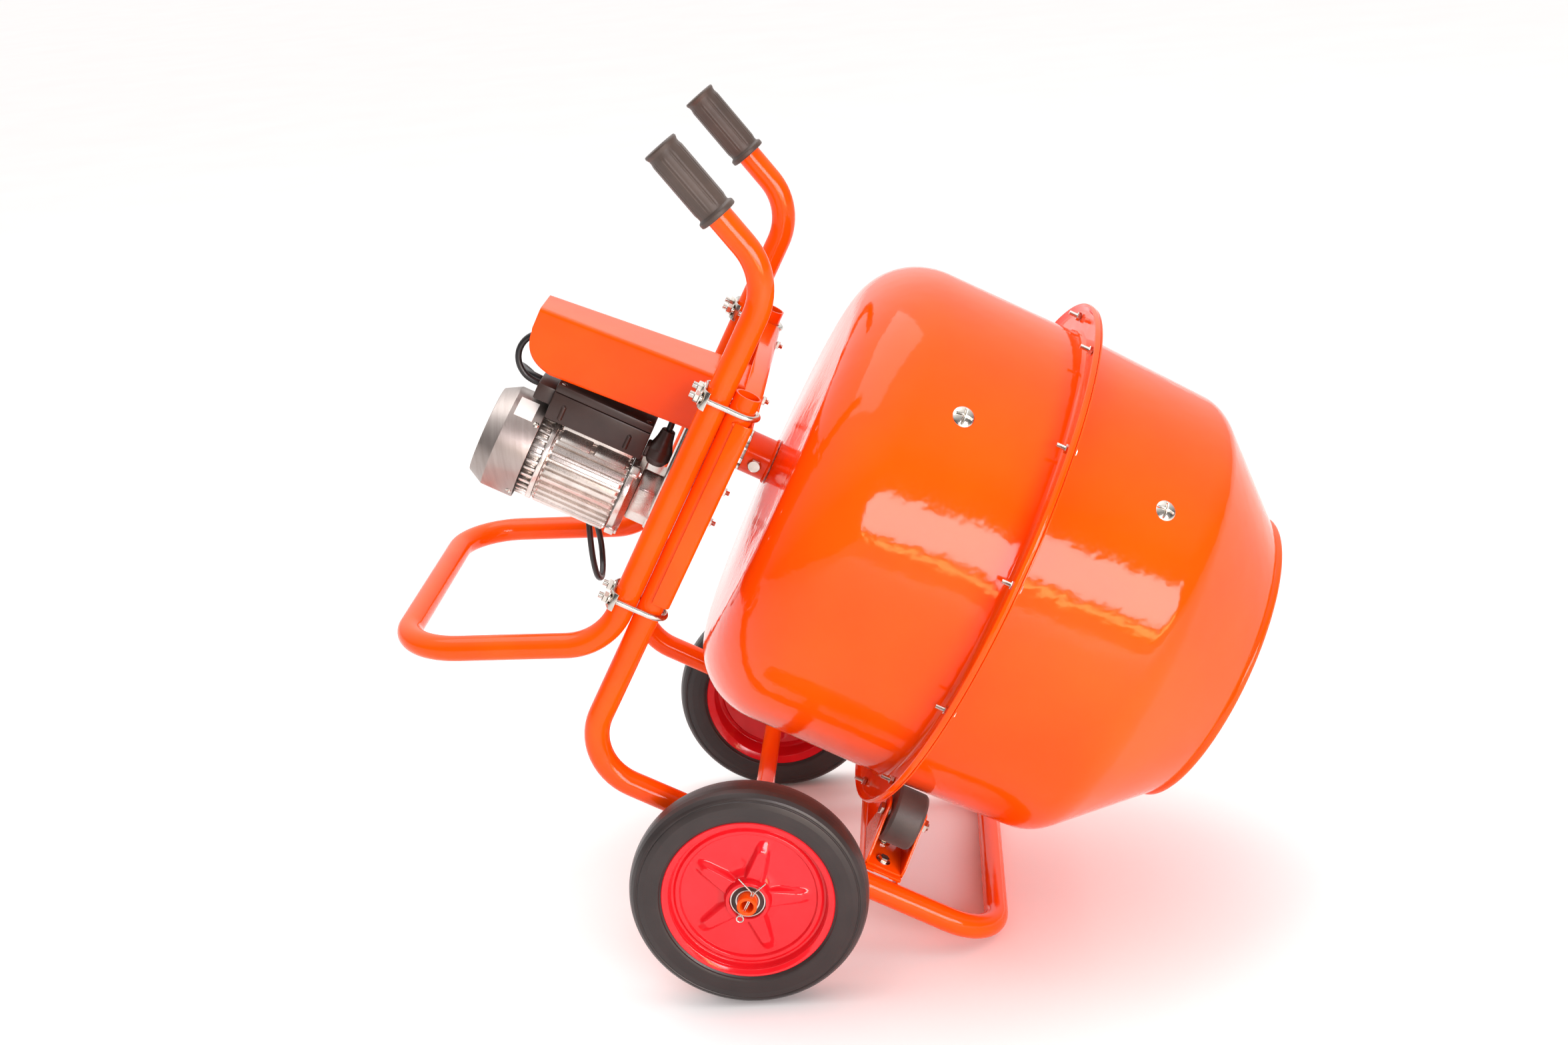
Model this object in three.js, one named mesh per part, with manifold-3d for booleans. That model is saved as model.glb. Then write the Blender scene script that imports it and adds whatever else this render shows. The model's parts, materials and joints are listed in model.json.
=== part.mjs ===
// Hand-pushed electric concrete mixer, in millimetres, +Z up.
//
// The machine is drawn in the rail frame: the origin is the wheel axle's centre, +X runs along the bottom
// rails towards the drum's mouth, +Y points to the far side and +Z is square to the rails. The whole
// machine is then tipped forward about the axle until the front crossbar stands on the floor.
import * as THREE from 'three';
import { mergeVertices } from 'three/addons/utils/BufferGeometryUtils.js';
import Module from 'manifold-3d';

const wasm = await Module();
wasm.setup();

// ---- Driving dimensions -------------------------------------------------------------------------------
const GAP = 0.3;

const TYRE_RADIUS = 150;
const TYRE_SIDES = 28;
const WHEEL_Y = 297.5;
const RIM_SIDES = 20;
const RIM_LIP_RADIUS = 108.5;
const AXLE_RADIUS = 12.5;
const AXLE_BORE = 8.3;
const AXLE_HALF = 335;
const PIN_Y = 329.5;

const TUBE_RADIUS = 16;
const TUBE_BORE = 14;
const TUBE_Y = 220;
const RAIL_Z = 33;
const FRONT_X = 332;
const STAND_X = -257;
const STAND_TOP = 564;
const STAND_BEND = 73;
const HANDLE_X = STAND_X - 2 * TUBE_RADIUS - GAP;
const HANDLE_BEND = 80;
const HANDLE_CORNER_Z = 704;
const HANDLE_RISE = THREE.MathUtils.degToRad(25.3);
const GRIP_START = 94;
const GRIP_LENGTH = 104;
const FOOT_CORNER_Z = 195;
const FOOT_X = -522;
const FOOT_Z = 74.5;
const FOOT_BEND = 78;

const CLAMP_Z = [543, 263];
const CLAMP_ROD = 4;
const CLAMP_PLATE = 3.2;

const PLATE_X = STAND_X + TUBE_RADIUS + 0.6;
const PLATE_THICK = 4;
const PLATE_LOW = 279;
const PLATE_HIGH = 533;
const PLATE_TOP = 550;

const DRUM_Z = 430;
const DRUM_RADIUS = 317;
const DRUM_WALL = 2.2;
const DRUM_SIDES = 28;
const DRUM_BASE_X = -172;
const FLANGE_X = 110.5;
const FLANGE_RADIUS = 357;
const FLANGE_WALL = 2.5;
const MOUTH_X = 446;
const MOUTH_RADIUS = 202;

const ROLLER_RADIUS = 38.5;
const ROLLER_Y = 160;
const ROLLER_X = 158;
const ROLLER_LENGTH = 42;
const BEAM_HALF = 26;

const MOTOR_Z = 312;
const COVER_RADIUS = 69.5;
const PINION_R = 7.5;
const LAY_GEAR_R = 57;
const LAY_PINION_R = 9;
const OUT_GEAR_R = 45;
const SHAFT_RADIUS = 12.5;
const HOOD_HALF_REAR = 38;
const HOOD_HALF_FRONT = 57;
const HOOD_SHEET = 1.6;
const CABLE_RADIUS = 4.25;

// The forward tip that puts the front crossbar on the same floor as the tyres.
const TIP = Math.asin((TYRE_RADIUS - TUBE_RADIUS) / Math.hypot(FRONT_X, RAIL_Z)) + Math.atan2(RAIL_Z, FRONT_X);
// Puts the origin under the middle of the machine's length.
const CENTRE_SHIFT = -133.75;

// ---- Colours and finishes -----------------------------------------------------------------------------
const finish = (color, roughness, metalness) =>
  new THREE.MeshStandardMaterial({ color, roughness, metalness });
const ORANGE = finish(0xff5a14, 0.25, 0.0);
const RED = finish(0xf5333c, 0.25, 0.0);
const RUBBER = finish(0x35302e, 0.75, 0.0);
const ALUMINIUM = finish(0xb9b4ae, 0.4, 0.9);
const STEEL = finish(0x8d8b88, 0.35, 1.0);
const ZINC = finish(0xd6d3cc, 0.25, 1.0);
const PLASTIC = finish(0x2c2726, 0.5, 0.0);
const COPPER = finish(0xa06a4a, 0.4, 0.8);
const GREEN = finish(0x2f8f4e, 0.4, 0.0);
const STOP_RED = finish(0xc8252b, 0.4, 0.0);

// ---- Geometry helpers ---------------------------------------------------------------------------------
const V3 = (x, y, z) => new THREE.Vector3(x, y, z);
const V2 = (x, y) => new THREE.Vector2(x, y);

// Merges shared corners and turns every face outwards.
function closed(geometry) {
  const g = geometry.clone();
  g.deleteAttribute('normal');
  g.deleteAttribute('uv');
  const merged = mergeVertices(g, 1e-3);
  const p = merged.getAttribute('position');
  const source = merged.index.array;
  const kept = [];
  const a = V3(0, 0, 0);
  const b = V3(0, 0, 0);
  const c = V3(0, 0, 0);
  let volume = 0;
  for (let i = 0; i < source.length; i += 3) {
    const [i0, i1, i2] = [source[i], source[i + 1], source[i + 2]];
    if (i0 === i1 || i1 === i2 || i2 === i0) continue;
    a.fromBufferAttribute(p, i0);
    b.fromBufferAttribute(p, i1);
    c.fromBufferAttribute(p, i2);
    volume += a.dot(b.clone().cross(c));
    kept.push(i0, i1, i2);
  }
  if (volume < 0) {
    for (let i = 0; i < kept.length; i += 3) {
      [kept[i + 1], kept[i + 2]] = [kept[i + 2], kept[i + 1]];
    }
  }
  merged.setIndex(kept);
  return merged;
}

function toSolid(geometry) {
  const g = closed(geometry);
  return new wasm.Manifold(new wasm.Mesh({
    numProp: 3,
    vertProperties: new Float32Array(g.getAttribute('position').array),
    triVerts: new Uint32Array(g.index.array),
  }));
}

function fromSolid(solid) {
  const mesh = solid.getMesh();
  const g = new THREE.BufferGeometry();
  g.setAttribute('position', new THREE.BufferAttribute(new Float32Array(mesh.vertProperties), 3));
  g.setIndex(Array.from(mesh.triVerts));
  return g;
}

const join = (...pieces) => fromSolid(pieces.map(toSolid).reduce((sum, s) => sum.add(s)));
const cut = (body, ...tools) => fromSolid(tools.map(toSolid).reduce((left, s) => left.subtract(s), toSolid(body)));
const common = (a, b) => fromSolid(toSolid(a).intersect(toSolid(b)));

// A box given by its lowest and highest corners.
function block(x0, x1, y0, y1, z0, z1) {
  const g = new THREE.BoxGeometry(x1 - x0, y1 - y0, z1 - z0);
  return g.translate((x0 + x1) / 2, (y0 + y1) / 2, (z0 + z1) / 2);
}

// A turned piece: profile rows are [radius, station]; the axis runs along X, Y or Z.
function turned(profile, sides, axis, phase = 0) {
  const points = profile.map(([r, s]) => V2(r, s));
  if (profile[0][0] > 0 || profile.at(-1)[0] > 0) points.push(points[0].clone());
  const g = new THREE.LatheGeometry(points, sides);
  g.rotateY(phase);
  if (axis === 'x') g.rotateZ(-Math.PI / 2);
  if (axis === 'z') g.rotateX(Math.PI / 2);
  return closed(g);
}

const rod = (radius, from, to, sides, axis) =>
  turned([[0, from], [radius, from], [radius, to], [0, to]], sides, axis);
const ring = (inner, outer, from, to, sides, axis) =>
  turned([[inner, from], [outer, from], [outer, to], [inner, to]], sides, axis);

// A flat outline in the YZ plane, given thickness along X from x0 to x1.
function slabYZ(shape, x0, x1, segments = 6) {
  const g = new THREE.ExtrudeGeometry(shape, { depth: x1 - x0, bevelEnabled: false, curveSegments: segments });
  g.applyMatrix4(new THREE.Matrix4().set(0, 0, 1, x0, 1, 0, 0, 0, 0, 1, 0, 0, 0, 0, 0, 1));
  return closed(g);
}

// A flat outline in the XZ plane, given thickness along Y from y0 to y1.
function slabXZ(shape, y0, y1, segments = 6) {
  const g = new THREE.ExtrudeGeometry(shape, { depth: y1 - y0, bevelEnabled: false, curveSegments: segments });
  g.rotateX(Math.PI / 2);
  g.translate(0, y1, 0);
  return closed(g);
}

const outline = (points) => new THREE.Shape(points.map(([a, b]) => V2(a, b)));

// A curve that an extrusion follows station by station, so straights take one step and bends a few.
class StationCurve extends THREE.Curve {
  constructor(stations) {
    super();
    this.stations = stations;
  }

  station(t) {
    return this.stations[Math.round(t * (this.stations.length - 1))];
  }

  getPoint(t, target = V3(0, 0, 0)) {
    return target.copy(this.station(t).point);
  }

  getTangent(t, target = V3(0, 0, 0)) {
    return target.copy(this.station(t).tangent);
  }

  getPointAt(u, target) {
    return this.getPoint(u, target);
  }

  getTangentAt(u, target) {
    return this.getTangent(u, target);
  }
}

// The stations of a polyline whose inner corners are rounded; radii has one entry for each inner corner.
function roundedPath(corners, radii, steps) {
  const stations = [];
  const last = corners.length - 1;
  const heading = (i) => corners[i + 1].clone().sub(corners[i]).normalize();
  stations.push({ point: corners[0].clone(), tangent: heading(0) });
  for (let i = 1; i < last; i++) {
    const before = heading(i - 1);
    const after = heading(i);
    const turn = before.angleTo(after);
    const trim = radii[i - 1] * Math.tan(turn / 2);
    const inward = after.clone().sub(before.clone().multiplyScalar(before.dot(after))).normalize();
    const start = corners[i].clone().addScaledVector(before, -trim);
    for (let k = 0; k <= steps; k++) {
      const angle = (turn * k) / steps;
      const point = start.clone()
        .addScaledVector(before, radii[i - 1] * Math.sin(angle))
        .addScaledVector(inward, radii[i - 1] * (1 - Math.cos(angle)));
      const tangent = before.clone().multiplyScalar(Math.cos(angle)).addScaledVector(inward, Math.sin(angle));
      stations.push({ point, tangent });
    }
  }
  stations.push({ point: corners[last].clone(), tangent: heading(last - 1) });
  return stations;
}

function roundSection(radius, bore, sides) {
  const ringOf = (r, n) => Array.from({ length: n }, (_, i) => {
    const angle = (i * 2 * Math.PI) / n;
    return V2(r * Math.cos(angle), r * Math.sin(angle));
  });
  const shape = new THREE.Shape(ringOf(radius, sides));
  if (bore > 0) shape.holes.push(new THREE.Path(ringOf(bore, 8)));
  return shape;
}

function tube(stations, radius, bore, sides) {
  return closed(new THREE.ExtrudeGeometry(roundSection(radius, bore, sides), {
    steps: stations.length - 1,
    bevelEnabled: false,
    extrudePath: new StationCurve(stations),
  }));
}

// A cable along hand-chosen points.
function cable(points, steps) {
  const curve = new THREE.CatmullRomCurve3(points, false, 'centripetal');
  return closed(new THREE.ExtrudeGeometry(roundSection(CABLE_RADIUS, 0, 8), {
    steps,
    bevelEnabled: false,
    extrudePath: curve,
  }));
}

const machine = new THREE.Group();
machine.rotation.y = TIP;
machine.position.set(CENTRE_SHIFT, 0, TYRE_RADIUS);

// The wheels stand level, because one flat of each tread rests on the floor.
const rolling = new THREE.Group();
rolling.position.set(CENTRE_SHIFT, 0, TYRE_RADIUS);

function add(group, name, geometry, material, position = [0, 0, 0]) {
  const mesh = new THREE.Mesh(geometry, material);
  mesh.name = name;
  mesh.position.set(...position);
  group.add(mesh);
  return mesh;
}

const SIDES = [['near', -1], ['far', 1]];

// ---- Stand and handle frame ---------------------------------------------------------------------------
function standFrame() {
  const corners = [
    V3(STAND_X, -TUBE_Y, STAND_TOP),
    V3(STAND_X, -TUBE_Y, RAIL_Z),
    V3(FRONT_X, -TUBE_Y, RAIL_Z),
    V3(FRONT_X, TUBE_Y, RAIL_Z),
    V3(STAND_X, TUBE_Y, RAIL_Z),
    V3(STAND_X, TUBE_Y, STAND_TOP),
  ];
  return tube(roundedPath(corners, Array(4).fill(STAND_BEND), 4), TUBE_RADIUS, TUBE_BORE, 12);
}

// A point on the straight under a grip, measured from the handle's corner.
const gripPoint = (side, distance) => V3(
  HANDLE_X - distance * Math.cos(HANDLE_RISE),
  side * TUBE_Y,
  HANDLE_CORNER_Z + distance * Math.sin(HANDLE_RISE),
);

function handleFrame() {
  const end = GRIP_START + GRIP_LENGTH - 6;
  const corners = [
    gripPoint(-1, end),
    V3(HANDLE_X, -TUBE_Y, HANDLE_CORNER_Z),
    V3(HANDLE_X, -TUBE_Y, FOOT_CORNER_Z),
    V3(FOOT_X, -TUBE_Y, FOOT_Z),
    V3(FOOT_X, TUBE_Y, FOOT_Z),
    V3(HANDLE_X, TUBE_Y, FOOT_CORNER_Z),
    V3(HANDLE_X, TUBE_Y, HANDLE_CORNER_Z),
    gripPoint(1, end),
  ];
  const radii = [HANDLE_BEND, HANDLE_BEND, FOOT_BEND, FOOT_BEND, HANDLE_BEND, HANDLE_BEND];
  return tube(roundedPath(corners, radii, 4), TUBE_RADIUS, TUBE_BORE, 12);
}

function grip(side) {
  const bore = 16.9;
  const g = turned([
    [bore, 0], [24.5, 0], [24.5, 6], [20.8, 9], [20.8, GRIP_LENGTH - 7], [22.4, GRIP_LENGTH - 3],
    [21.5, GRIP_LENGTH], [0, GRIP_LENGTH], [0, GRIP_LENGTH - 4], [bore, GRIP_LENGTH - 4],
  ], 16, 'z');
  g.rotateY(-Math.PI / 2 + HANDLE_RISE);
  const start = gripPoint(side, GRIP_START);
  return g.translate(start.x, start.y, start.z);
}

function mountingPlate() {
  const x0 = PLATE_X;
  const x1 = PLATE_X + PLATE_THICK;
  const outer = TUBE_Y + TUBE_RADIUS + 0.6 + PLATE_THICK;
  const upper = 194;
  const web = block(x0, x1, -outer, outer, PLATE_LOW, PLATE_HIGH);
  const rise = block(x0, x1, -upper, upper, PLATE_HIGH - 2, PLATE_TOP);
  const lip = block(x0 - 21, x1, -upper, upper, PLATE_TOP - PLATE_THICK, PLATE_TOP);
  const wraps = SIDES.map(([, side]) => {
    const inner = side * (outer - PLATE_THICK);
    return block(STAND_X, x1, Math.min(inner, side * outer), Math.max(inner, side * outer), PLATE_LOW, PLATE_HIGH);
  });
  const shaftHole = rod(30, x0 - 5, x1 + 5, 20, 'x').translate(0, 0, DRUM_Z);
  return cut(join(web, rise, lip, ...wraps), shaftHole);
}

// A U-bolt that holds a stand tube and a handle tube side by side.
function uBolt(side, z) {
  const reach = TUBE_RADIUS + CLAMP_ROD + GAP;
  const end = HANDLE_X - TUBE_RADIUS - 17;
  const y = side * TUBE_Y;
  const corners = [
    V3(end, y - reach, z),
    V3(STAND_X + reach, y - reach, z),
    V3(STAND_X + reach, y + reach, z),
    V3(end, y + reach, z),
  ];
  return tube(roundedPath(corners, [reach - 0.05, reach - 0.05], 3), CLAMP_ROD, 0, 8);
}

function clampPlate(side, z) {
  const x1 = HANDLE_X - TUBE_RADIUS - 0.4;
  const x0 = x1 - CLAMP_PLATE;
  const y = side * TUBE_Y;
  const legs = TUBE_RADIUS + CLAMP_ROD + GAP;
  const plate = block(x0, x1, y - 31, y + 31, z - 12, z + 12);
  const holes = [-1, 1].map((s) => rod(CLAMP_ROD + 0.5, x0 - 3, x1 + 3, 8, 'x').translate(0, y + s * legs, z));
  return cut(plate, ...holes);
}

// ---- Axle and wheels ----------------------------------------------------------------------------------
function axle() {
  const tubePiece = ring(AXLE_BORE, AXLE_RADIUS, -AXLE_HALF, AXLE_HALF, 16, 'y');
  const pinHoles = SIDES.map(([, side]) => rod(2.1, -30, 30, 8, 'z').translate(0, side * PIN_Y, 0));
  return cut(tubePiece, ...pinHoles);
}

function axleSaddle(side) {
  const y = side * TUBE_Y;
  const body = block(-21, 21, y - 17, y + 17, -5, 23);
  const axleBed = rod(AXLE_RADIUS + GAP + 0.2, y - 30, y + 30, 16, 'y');
  const railBed = rod(TUBE_RADIUS + GAP + 0.2, -30, 30, 16, 'x').translate(0, y, RAIL_Z);
  return cut(body, axleBed, railBed);
}

function splitPin(side) {
  const shank = rod(1.7, -20, 19, 8, 'z');
  const eye = new THREE.TorusGeometry(4, 1.7, 6, 10).rotateX(Math.PI / 2);
  eye.translate(0, 0, -22.5);
  return join(shank, eye).translate(0, side * PIN_Y, 0);
}

function tyre() {
  const across = TYRE_RADIUS / Math.cos(Math.PI / TYRE_SIDES);
  const half = [[99.6, 17], [109.6, 21.6], [113, 25.2], [128, 26], [142, 22.5], [across, 13]];
  const profile = [...half.map(([r, h]) => [r, -h]), ...half.toReversed()];
  return turned(profile, TYRE_SIDES, 'y', Math.PI / TYRE_SIDES);
}

// The pressed wheel: barrel with two lips, dished disc and hub; outward is +Y.
function rim() {
  return turned([
    [RIM_LIP_RADIUS, 21.5], [107, 22.8], [97, 19], [95.8, 13.5], [88.5, 12], [85, 8.5], [42, 8.5],
    [31, 14], [27, 27], [22.8, 27], [22.8, -25], [27, -25], [27, 5.8], [85, 5.8], [88.5, 9.3],
    [95.8, 9.3], [97, -19], [107, -22.8], [RIM_LIP_RADIUS, -21.5], [98.6, -17.2], [98.6, 17.2],
  ], RIM_SIDES, 'y');
}

const hubBush = () => ring(AXLE_RADIUS + 0.75, 22.1, -24.6, 24, RIM_SIDES, 'y');

// ---- Drum ---------------------------------------------------------------------------------------------
// Quarter-ellipse corner between the drum's base and its side.
function cornerPoints(radius, base, radial, axial, steps) {
  return Array.from({ length: steps + 1 }, (_, i) => {
    const angle = (Math.PI / 2) * (i / steps);
    return [radius - radial + radial * Math.sin(angle), base + axial - axial * Math.cos(angle)];
  });
}

function drumLower() {
  const inner = DRUM_RADIUS - DRUM_WALL;
  const lip = FLANGE_X - FLANGE_WALL - 6;
  return turned([
    [0, DRUM_BASE_X - 12],
    ...cornerPoints(DRUM_RADIUS, DRUM_BASE_X, 90, 96, 4),
    [DRUM_RADIUS, FLANGE_X - FLANGE_WALL],
    [FLANGE_RADIUS - FLANGE_WALL, FLANGE_X - FLANGE_WALL],
    [FLANGE_RADIUS - FLANGE_WALL, lip],
    [FLANGE_RADIUS, lip],
    [FLANGE_RADIUS, FLANGE_X],
    [inner, FLANGE_X],
    ...cornerPoints(inner, DRUM_BASE_X + DRUM_WALL, 88, 94, 4).toReversed(),
    [0, DRUM_BASE_X - 12 + DRUM_WALL],
  ], DRUM_SIDES, 'x').translate(0, 0, DRUM_Z);
}

function drumUpper() {
  const start = FLANGE_X + GAP;
  return turned([
    [DRUM_RADIUS - DRUM_WALL, start], [FLANGE_RADIUS, start], [FLANGE_RADIUS, start + FLANGE_WALL],
    [DRUM_RADIUS + 1, start + FLANGE_WALL], [DRUM_RADIUS - 6, 302], [DRUM_RADIUS - 15, 324],
    [MOUTH_RADIUS - 2, MOUTH_X - 5], [MOUTH_RADIUS, MOUTH_X], [MOUTH_RADIUS - 2, MOUTH_X + 5],
    [MOUTH_RADIUS - 7, MOUTH_X + 7], [MOUTH_RADIUS - 12, MOUTH_X + 5], [MOUTH_RADIUS - 14, MOUTH_X],
    [MOUTH_RADIUS - 7, MOUTH_X - 7], [DRUM_RADIUS - 19, 322], [DRUM_RADIUS - 9, 300],
  ], DRUM_SIDES, 'x').translate(0, 0, DRUM_Z);
}

// A mixing paddle: a bent flat strip on two feet inside the drum wall.
function paddle(angle) {
  const wall = 306;
  const depth = 225;
  const strip = 5;
  const [x0, x1] = [-24, 247];
  const g = slabXZ(outline([
    [x0 - 26, wall], [x0 - 26, wall - strip], [x0 + 8, wall - strip], [x0 + 38, depth], [x1 - 38, depth],
    [x1 - 8, wall - strip], [x1 + 22, wall - strip], [x1 + 22, wall], [x1 - 12, wall], [x1 - 42, depth + strip],
    [x0 + 42, depth + strip], [x0 + 12, wall],
  ]), -22, 22);
  return g.rotateX(angle).translate(0, 0, DRUM_Z);
}

// ---- Hub between the gearbox and the drum -------------------------------------------------------------
const SOCKET_X0 = -221;
const SOCKET_X1 = -184.6;
const SOCKET_RADIUS = 28;
const CROSS_X = -204;
const CROSS_ANGLE = THREE.MathUtils.degToRad(98.9);
const crossRod = (radius, from, to, sides) =>
  rod(radius, from, to, sides, 'z').rotateX(CROSS_ANGLE).translate(CROSS_X, 0, DRUM_Z);

function hubSocket() {
  const body = ring(SHAFT_RADIUS + 0.6, SOCKET_RADIUS, SOCKET_X0, SOCKET_X1, 16, 'x').translate(0, 0, DRUM_Z);
  return cut(body, crossRod(5.6, -40, 40, 10));
}

function hubBolt() {
  const seat = SOCKET_RADIUS + 0.4;
  return join(crossRod(5, -39, 29, 10), crossRod(9.6, seat, seat + 6.6, 6), crossRod(9.6, -seat - 7.6, -seat, 6));
}

function outputShaft() {
  const body = turned([
    [0, -284], [SHAFT_RADIUS - 2, -284], [SHAFT_RADIUS - 2, -268], [OUT_GEAR_R - 0.2, -268],
    [OUT_GEAR_R - 0.2, -252], [SHAFT_RADIUS, -252], [SHAFT_RADIUS, -188], [0, -188],
  ], 24, 'x').translate(0, 0, DRUM_Z);
  return cut(body, crossRod(5.6, -40, 40, 10));
}

// ---- Gearbox ------------------------------------------------------------------------------------------
// The layshaft's centre, at the two gear pairs' centre distances from the motor and output axes.
function layCentre() {
  const a = PINION_R + LAY_GEAR_R;
  const b = LAY_PINION_R + OUT_GEAR_R;
  const d = DRUM_Z - MOTOR_Z;
  const along = (a * a - b * b + d * d) / (2 * d);
  return { y: Math.sqrt(a * a - along * along), z: MOTOR_Z + along };
}
const LAY = layCentre();

// The tight outline round circles given as [y, z, radius].
function hullOutline(circles, steps) {
  const points = circles.flatMap(([y, z, r]) => Array.from({ length: steps }, (_, i) => {
    const angle = (2 * Math.PI * i) / steps;
    return [y + r * Math.cos(angle), z + r * Math.sin(angle)];
  }));
  points.sort((p, q) => p[0] - q[0] || p[1] - q[1]);
  const turn = (o, a, b) => (a[0] - o[0]) * (b[1] - o[1]) - (a[1] - o[1]) * (b[0] - o[0]);
  const chain = (list) => {
    const out = [];
    for (const p of list) {
      while (out.length > 1 && turn(out.at(-2), out.at(-1), p) <= 1e-9) out.pop();
      out.push(p);
    }
    return out.slice(0, -1);
  };
  return outline([...chain(points), ...chain(points.toReversed())]);
}

const caseOutline = (shrink) => hullOutline(
  [[0, DRUM_Z, 50 - shrink], [LAY.y, LAY.z, 62 - shrink], [0, MOTOR_Z, 37 - shrink]], 16);

const CASE_X0 = -304;
const COVER_X0 = -245.8;

function gearboxCase() {
  const shell = slabYZ(caseOutline(0), CASE_X0, COVER_X0 - GAP);
  const hollow = slabYZ(caseOutline(4), CASE_X0 + 4, COVER_X0 + 5);
  const neck = slabYZ(outline([
    [-36, 300], [-20, 283], [20, 283], [36, 300], [36, 335], [20, 357], [-20, 357], [-36, 335],
  ]), -330.6, CASE_X0 + 1);
  const bore = rod(19, -340, CASE_X0 + 6, 12, 'x').translate(0, 0, MOTOR_Z);
  return cut(join(shell, neck), hollow, bore);
}

function gearboxCover() {
  const plate = slabYZ(caseOutline(0), COVER_X0, PLATE_X - GAP);
  return cut(plate, rod(SHAFT_RADIUS + 1, -260, -230, 16, 'x').translate(0, 0, DRUM_Z));
}

function bearingFlange() {
  const bore = SHAFT_RADIUS + 0.7;
  const face = PLATE_X + PLATE_THICK + GAP;
  return turned([
    [bore, PLATE_X + 0.4], [27.5, PLATE_X + 0.4], [27.5, face], [60, face], [60, face + 5], [31, face + 6],
    [29, -224.6], [bore, -224.6],
  ], 24, 'x').translate(0, 0, DRUM_Z);
}

function layshaft() {
  return turned([
    [0, -299.4], [6, -299.4], [6, -297.5], [LAY_GEAR_R - 0.2, -297.5], [LAY_GEAR_R - 0.2, -288.5],
    [LAY_PINION_R - 0.2, -288.5], [LAY_PINION_R - 0.2, -251], [0, -251],
  ], 24, 'x').translate(0, LAY.y, LAY.z);
}

// ---- Motor --------------------------------------------------------------------------------------------
const onMotor = (g) => g.translate(0, 0, MOTOR_Z);

function fanCover() {
  return onMotor(turned([
    [28, -540], [58, -540], [COVER_RADIUS, -519], [COVER_RADIUS, -476], [COVER_RADIUS - 2, -476],
    [COVER_RADIUS - 2, -518], [57, -538], [28, -538],
  ], 20, 'x'));
}

function fan() {
  const hub = ring(7.4, 20, -533, -508, 12, 'x');
  const blades = Array.from({ length: 6 }, (_, i) =>
    block(-531, -510, -1.5, 1.5, 17, 58).rotateX((i * Math.PI) / 3));
  return onMotor(join(hub, ...blades));
}

function rearShield() {
  return onMotor(turned([
    [8, -482], [24, -482], [26, -470], [60, -468], [62, -464], [62, -453], [54, -453], [24, -460], [22, -466],
    [8, -466],
  ], 20, 'x'));
}

function statorHousing() {
  const core = 55.5;
  const tip = 60.5;
  const fins = 24;
  const pitch = (2 * Math.PI) / fins;
  const points = [];
  for (let i = 0; i < fins; i++) {
    const middle = i * pitch;
    for (const [r, offset] of [[core, -0.3], [tip, -0.14], [tip, 0.14], [core, 0.3]]) {
      const angle = middle + offset * pitch;
      points.push([r * Math.cos(angle), r * Math.sin(angle)]);
    }
  }
  const body = slabYZ(outline(points), -452.6, -347.4);
  const seat = block(-449, -351, -30, 30, 50, 61.6);
  const bore = rod(51.8, -460, -340, 24, 'x');
  return onMotor(cut(join(body, seat), bore));
}

const statorCore = () => onMotor(ring(36, 51.2, -440, -362, 20, 'x'));

function rotor() {
  return onMotor(turned([
    [0, -534], [7, -534], [7, -440], [35.3, -438], [35.3, -364], [7, -362], [7, -297.5],
    [PINION_R - 0.2, -297.5], [PINION_R - 0.2, -288.5], [0, -288.5],
  ], 16, 'x'));
}

function frontShield() {
  const disc = turned([
    [14, -347], [62, -347], [62, -339], [52, -331], [14, -331],
  ], 20, 'x');
  const lugs = [45, 135, 225, 315].map((degrees) =>
    block(-347, -335, -9, 9, 44, 66).rotateX(THREE.MathUtils.degToRad(degrees)));
  return onMotor(join(disc, ...lugs));
}

// ---- Electrics and hood -------------------------------------------------------------------------------
const BOX_X0 = -476;
const BOX_X1 = -342;

const BOX_HALF = 47;
const BOX_LOW = 374;
const BOX_HIGH = 412;
const BOX_WALL = 4;
const BLOCK_X = BOX_X0 - 24;

function terminalBox() {
  const body = block(BOX_X0, BOX_X1, -BOX_HALF, BOX_HALF, BOX_LOW, BOX_HIGH);
  const endBlock = block(BLOCK_X, BOX_X0 + 2, -38, 24, 389, BOX_HIGH);
  const inner = BOX_HALF - BOX_WALL;
  const room = block(BOX_X0 + BOX_WALL, BOX_X1 - BOX_WALL, -inner, inner, BOX_LOW + BOX_WALL, BOX_HIGH + 8);
  return cut(join(body, endBlock), room);
}

const terminalLid = () => block(BOX_X0, BOX_X1, -BOX_HALF, BOX_HALF, BOX_HIGH + GAP, BOX_HIGH + 12);

const GLAND = { x: -323, y: -36, z: 390 };

function cableGland() {
  const boot = turned([
    [0, -17], [11, -15.5], [17, -6], [17, 6], [12, 16], [7, 34], [0, 34],
  ], 12, 'z');
  const stub = rod(9, BOX_X1 + GAP - GLAND.x, 0, 10, 'x');
  return join(boot, stub).translate(GLAND.x, GLAND.y, GLAND.z);
}

const SWITCH = { x0: -470, x1: -400, y0: -24, y1: 30, z0: 448, z1: 496 };

// A cable runs from the terminal box's gland up into the switch.
function motorLead() {
  return cable([
    V3(GLAND.x, GLAND.y, GLAND.z + 34 + GAP),
    V3(-323, -36, 428),
    V3(-323.2, -35.5, 433),
    V3(-324.5, -34, 441),
    V3(-327.8, -31.5, 450),
    V3(-333, -28.5, 457.5),
    V3(-340, -25, 463.5),
    V3(-348, -21, 467.5),
    V3(-357, -17, 470),
    V3(-366, -13.5, 471.3),
    V3(-375, -11, 472),
    V3(-383, -9, 472),
    V3(-390, -8.2, 472),
    V3(-395, -8, 472),
    V3(SWITCH.x1 + GAP, -8, 472),
  ], 10);
}

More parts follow.
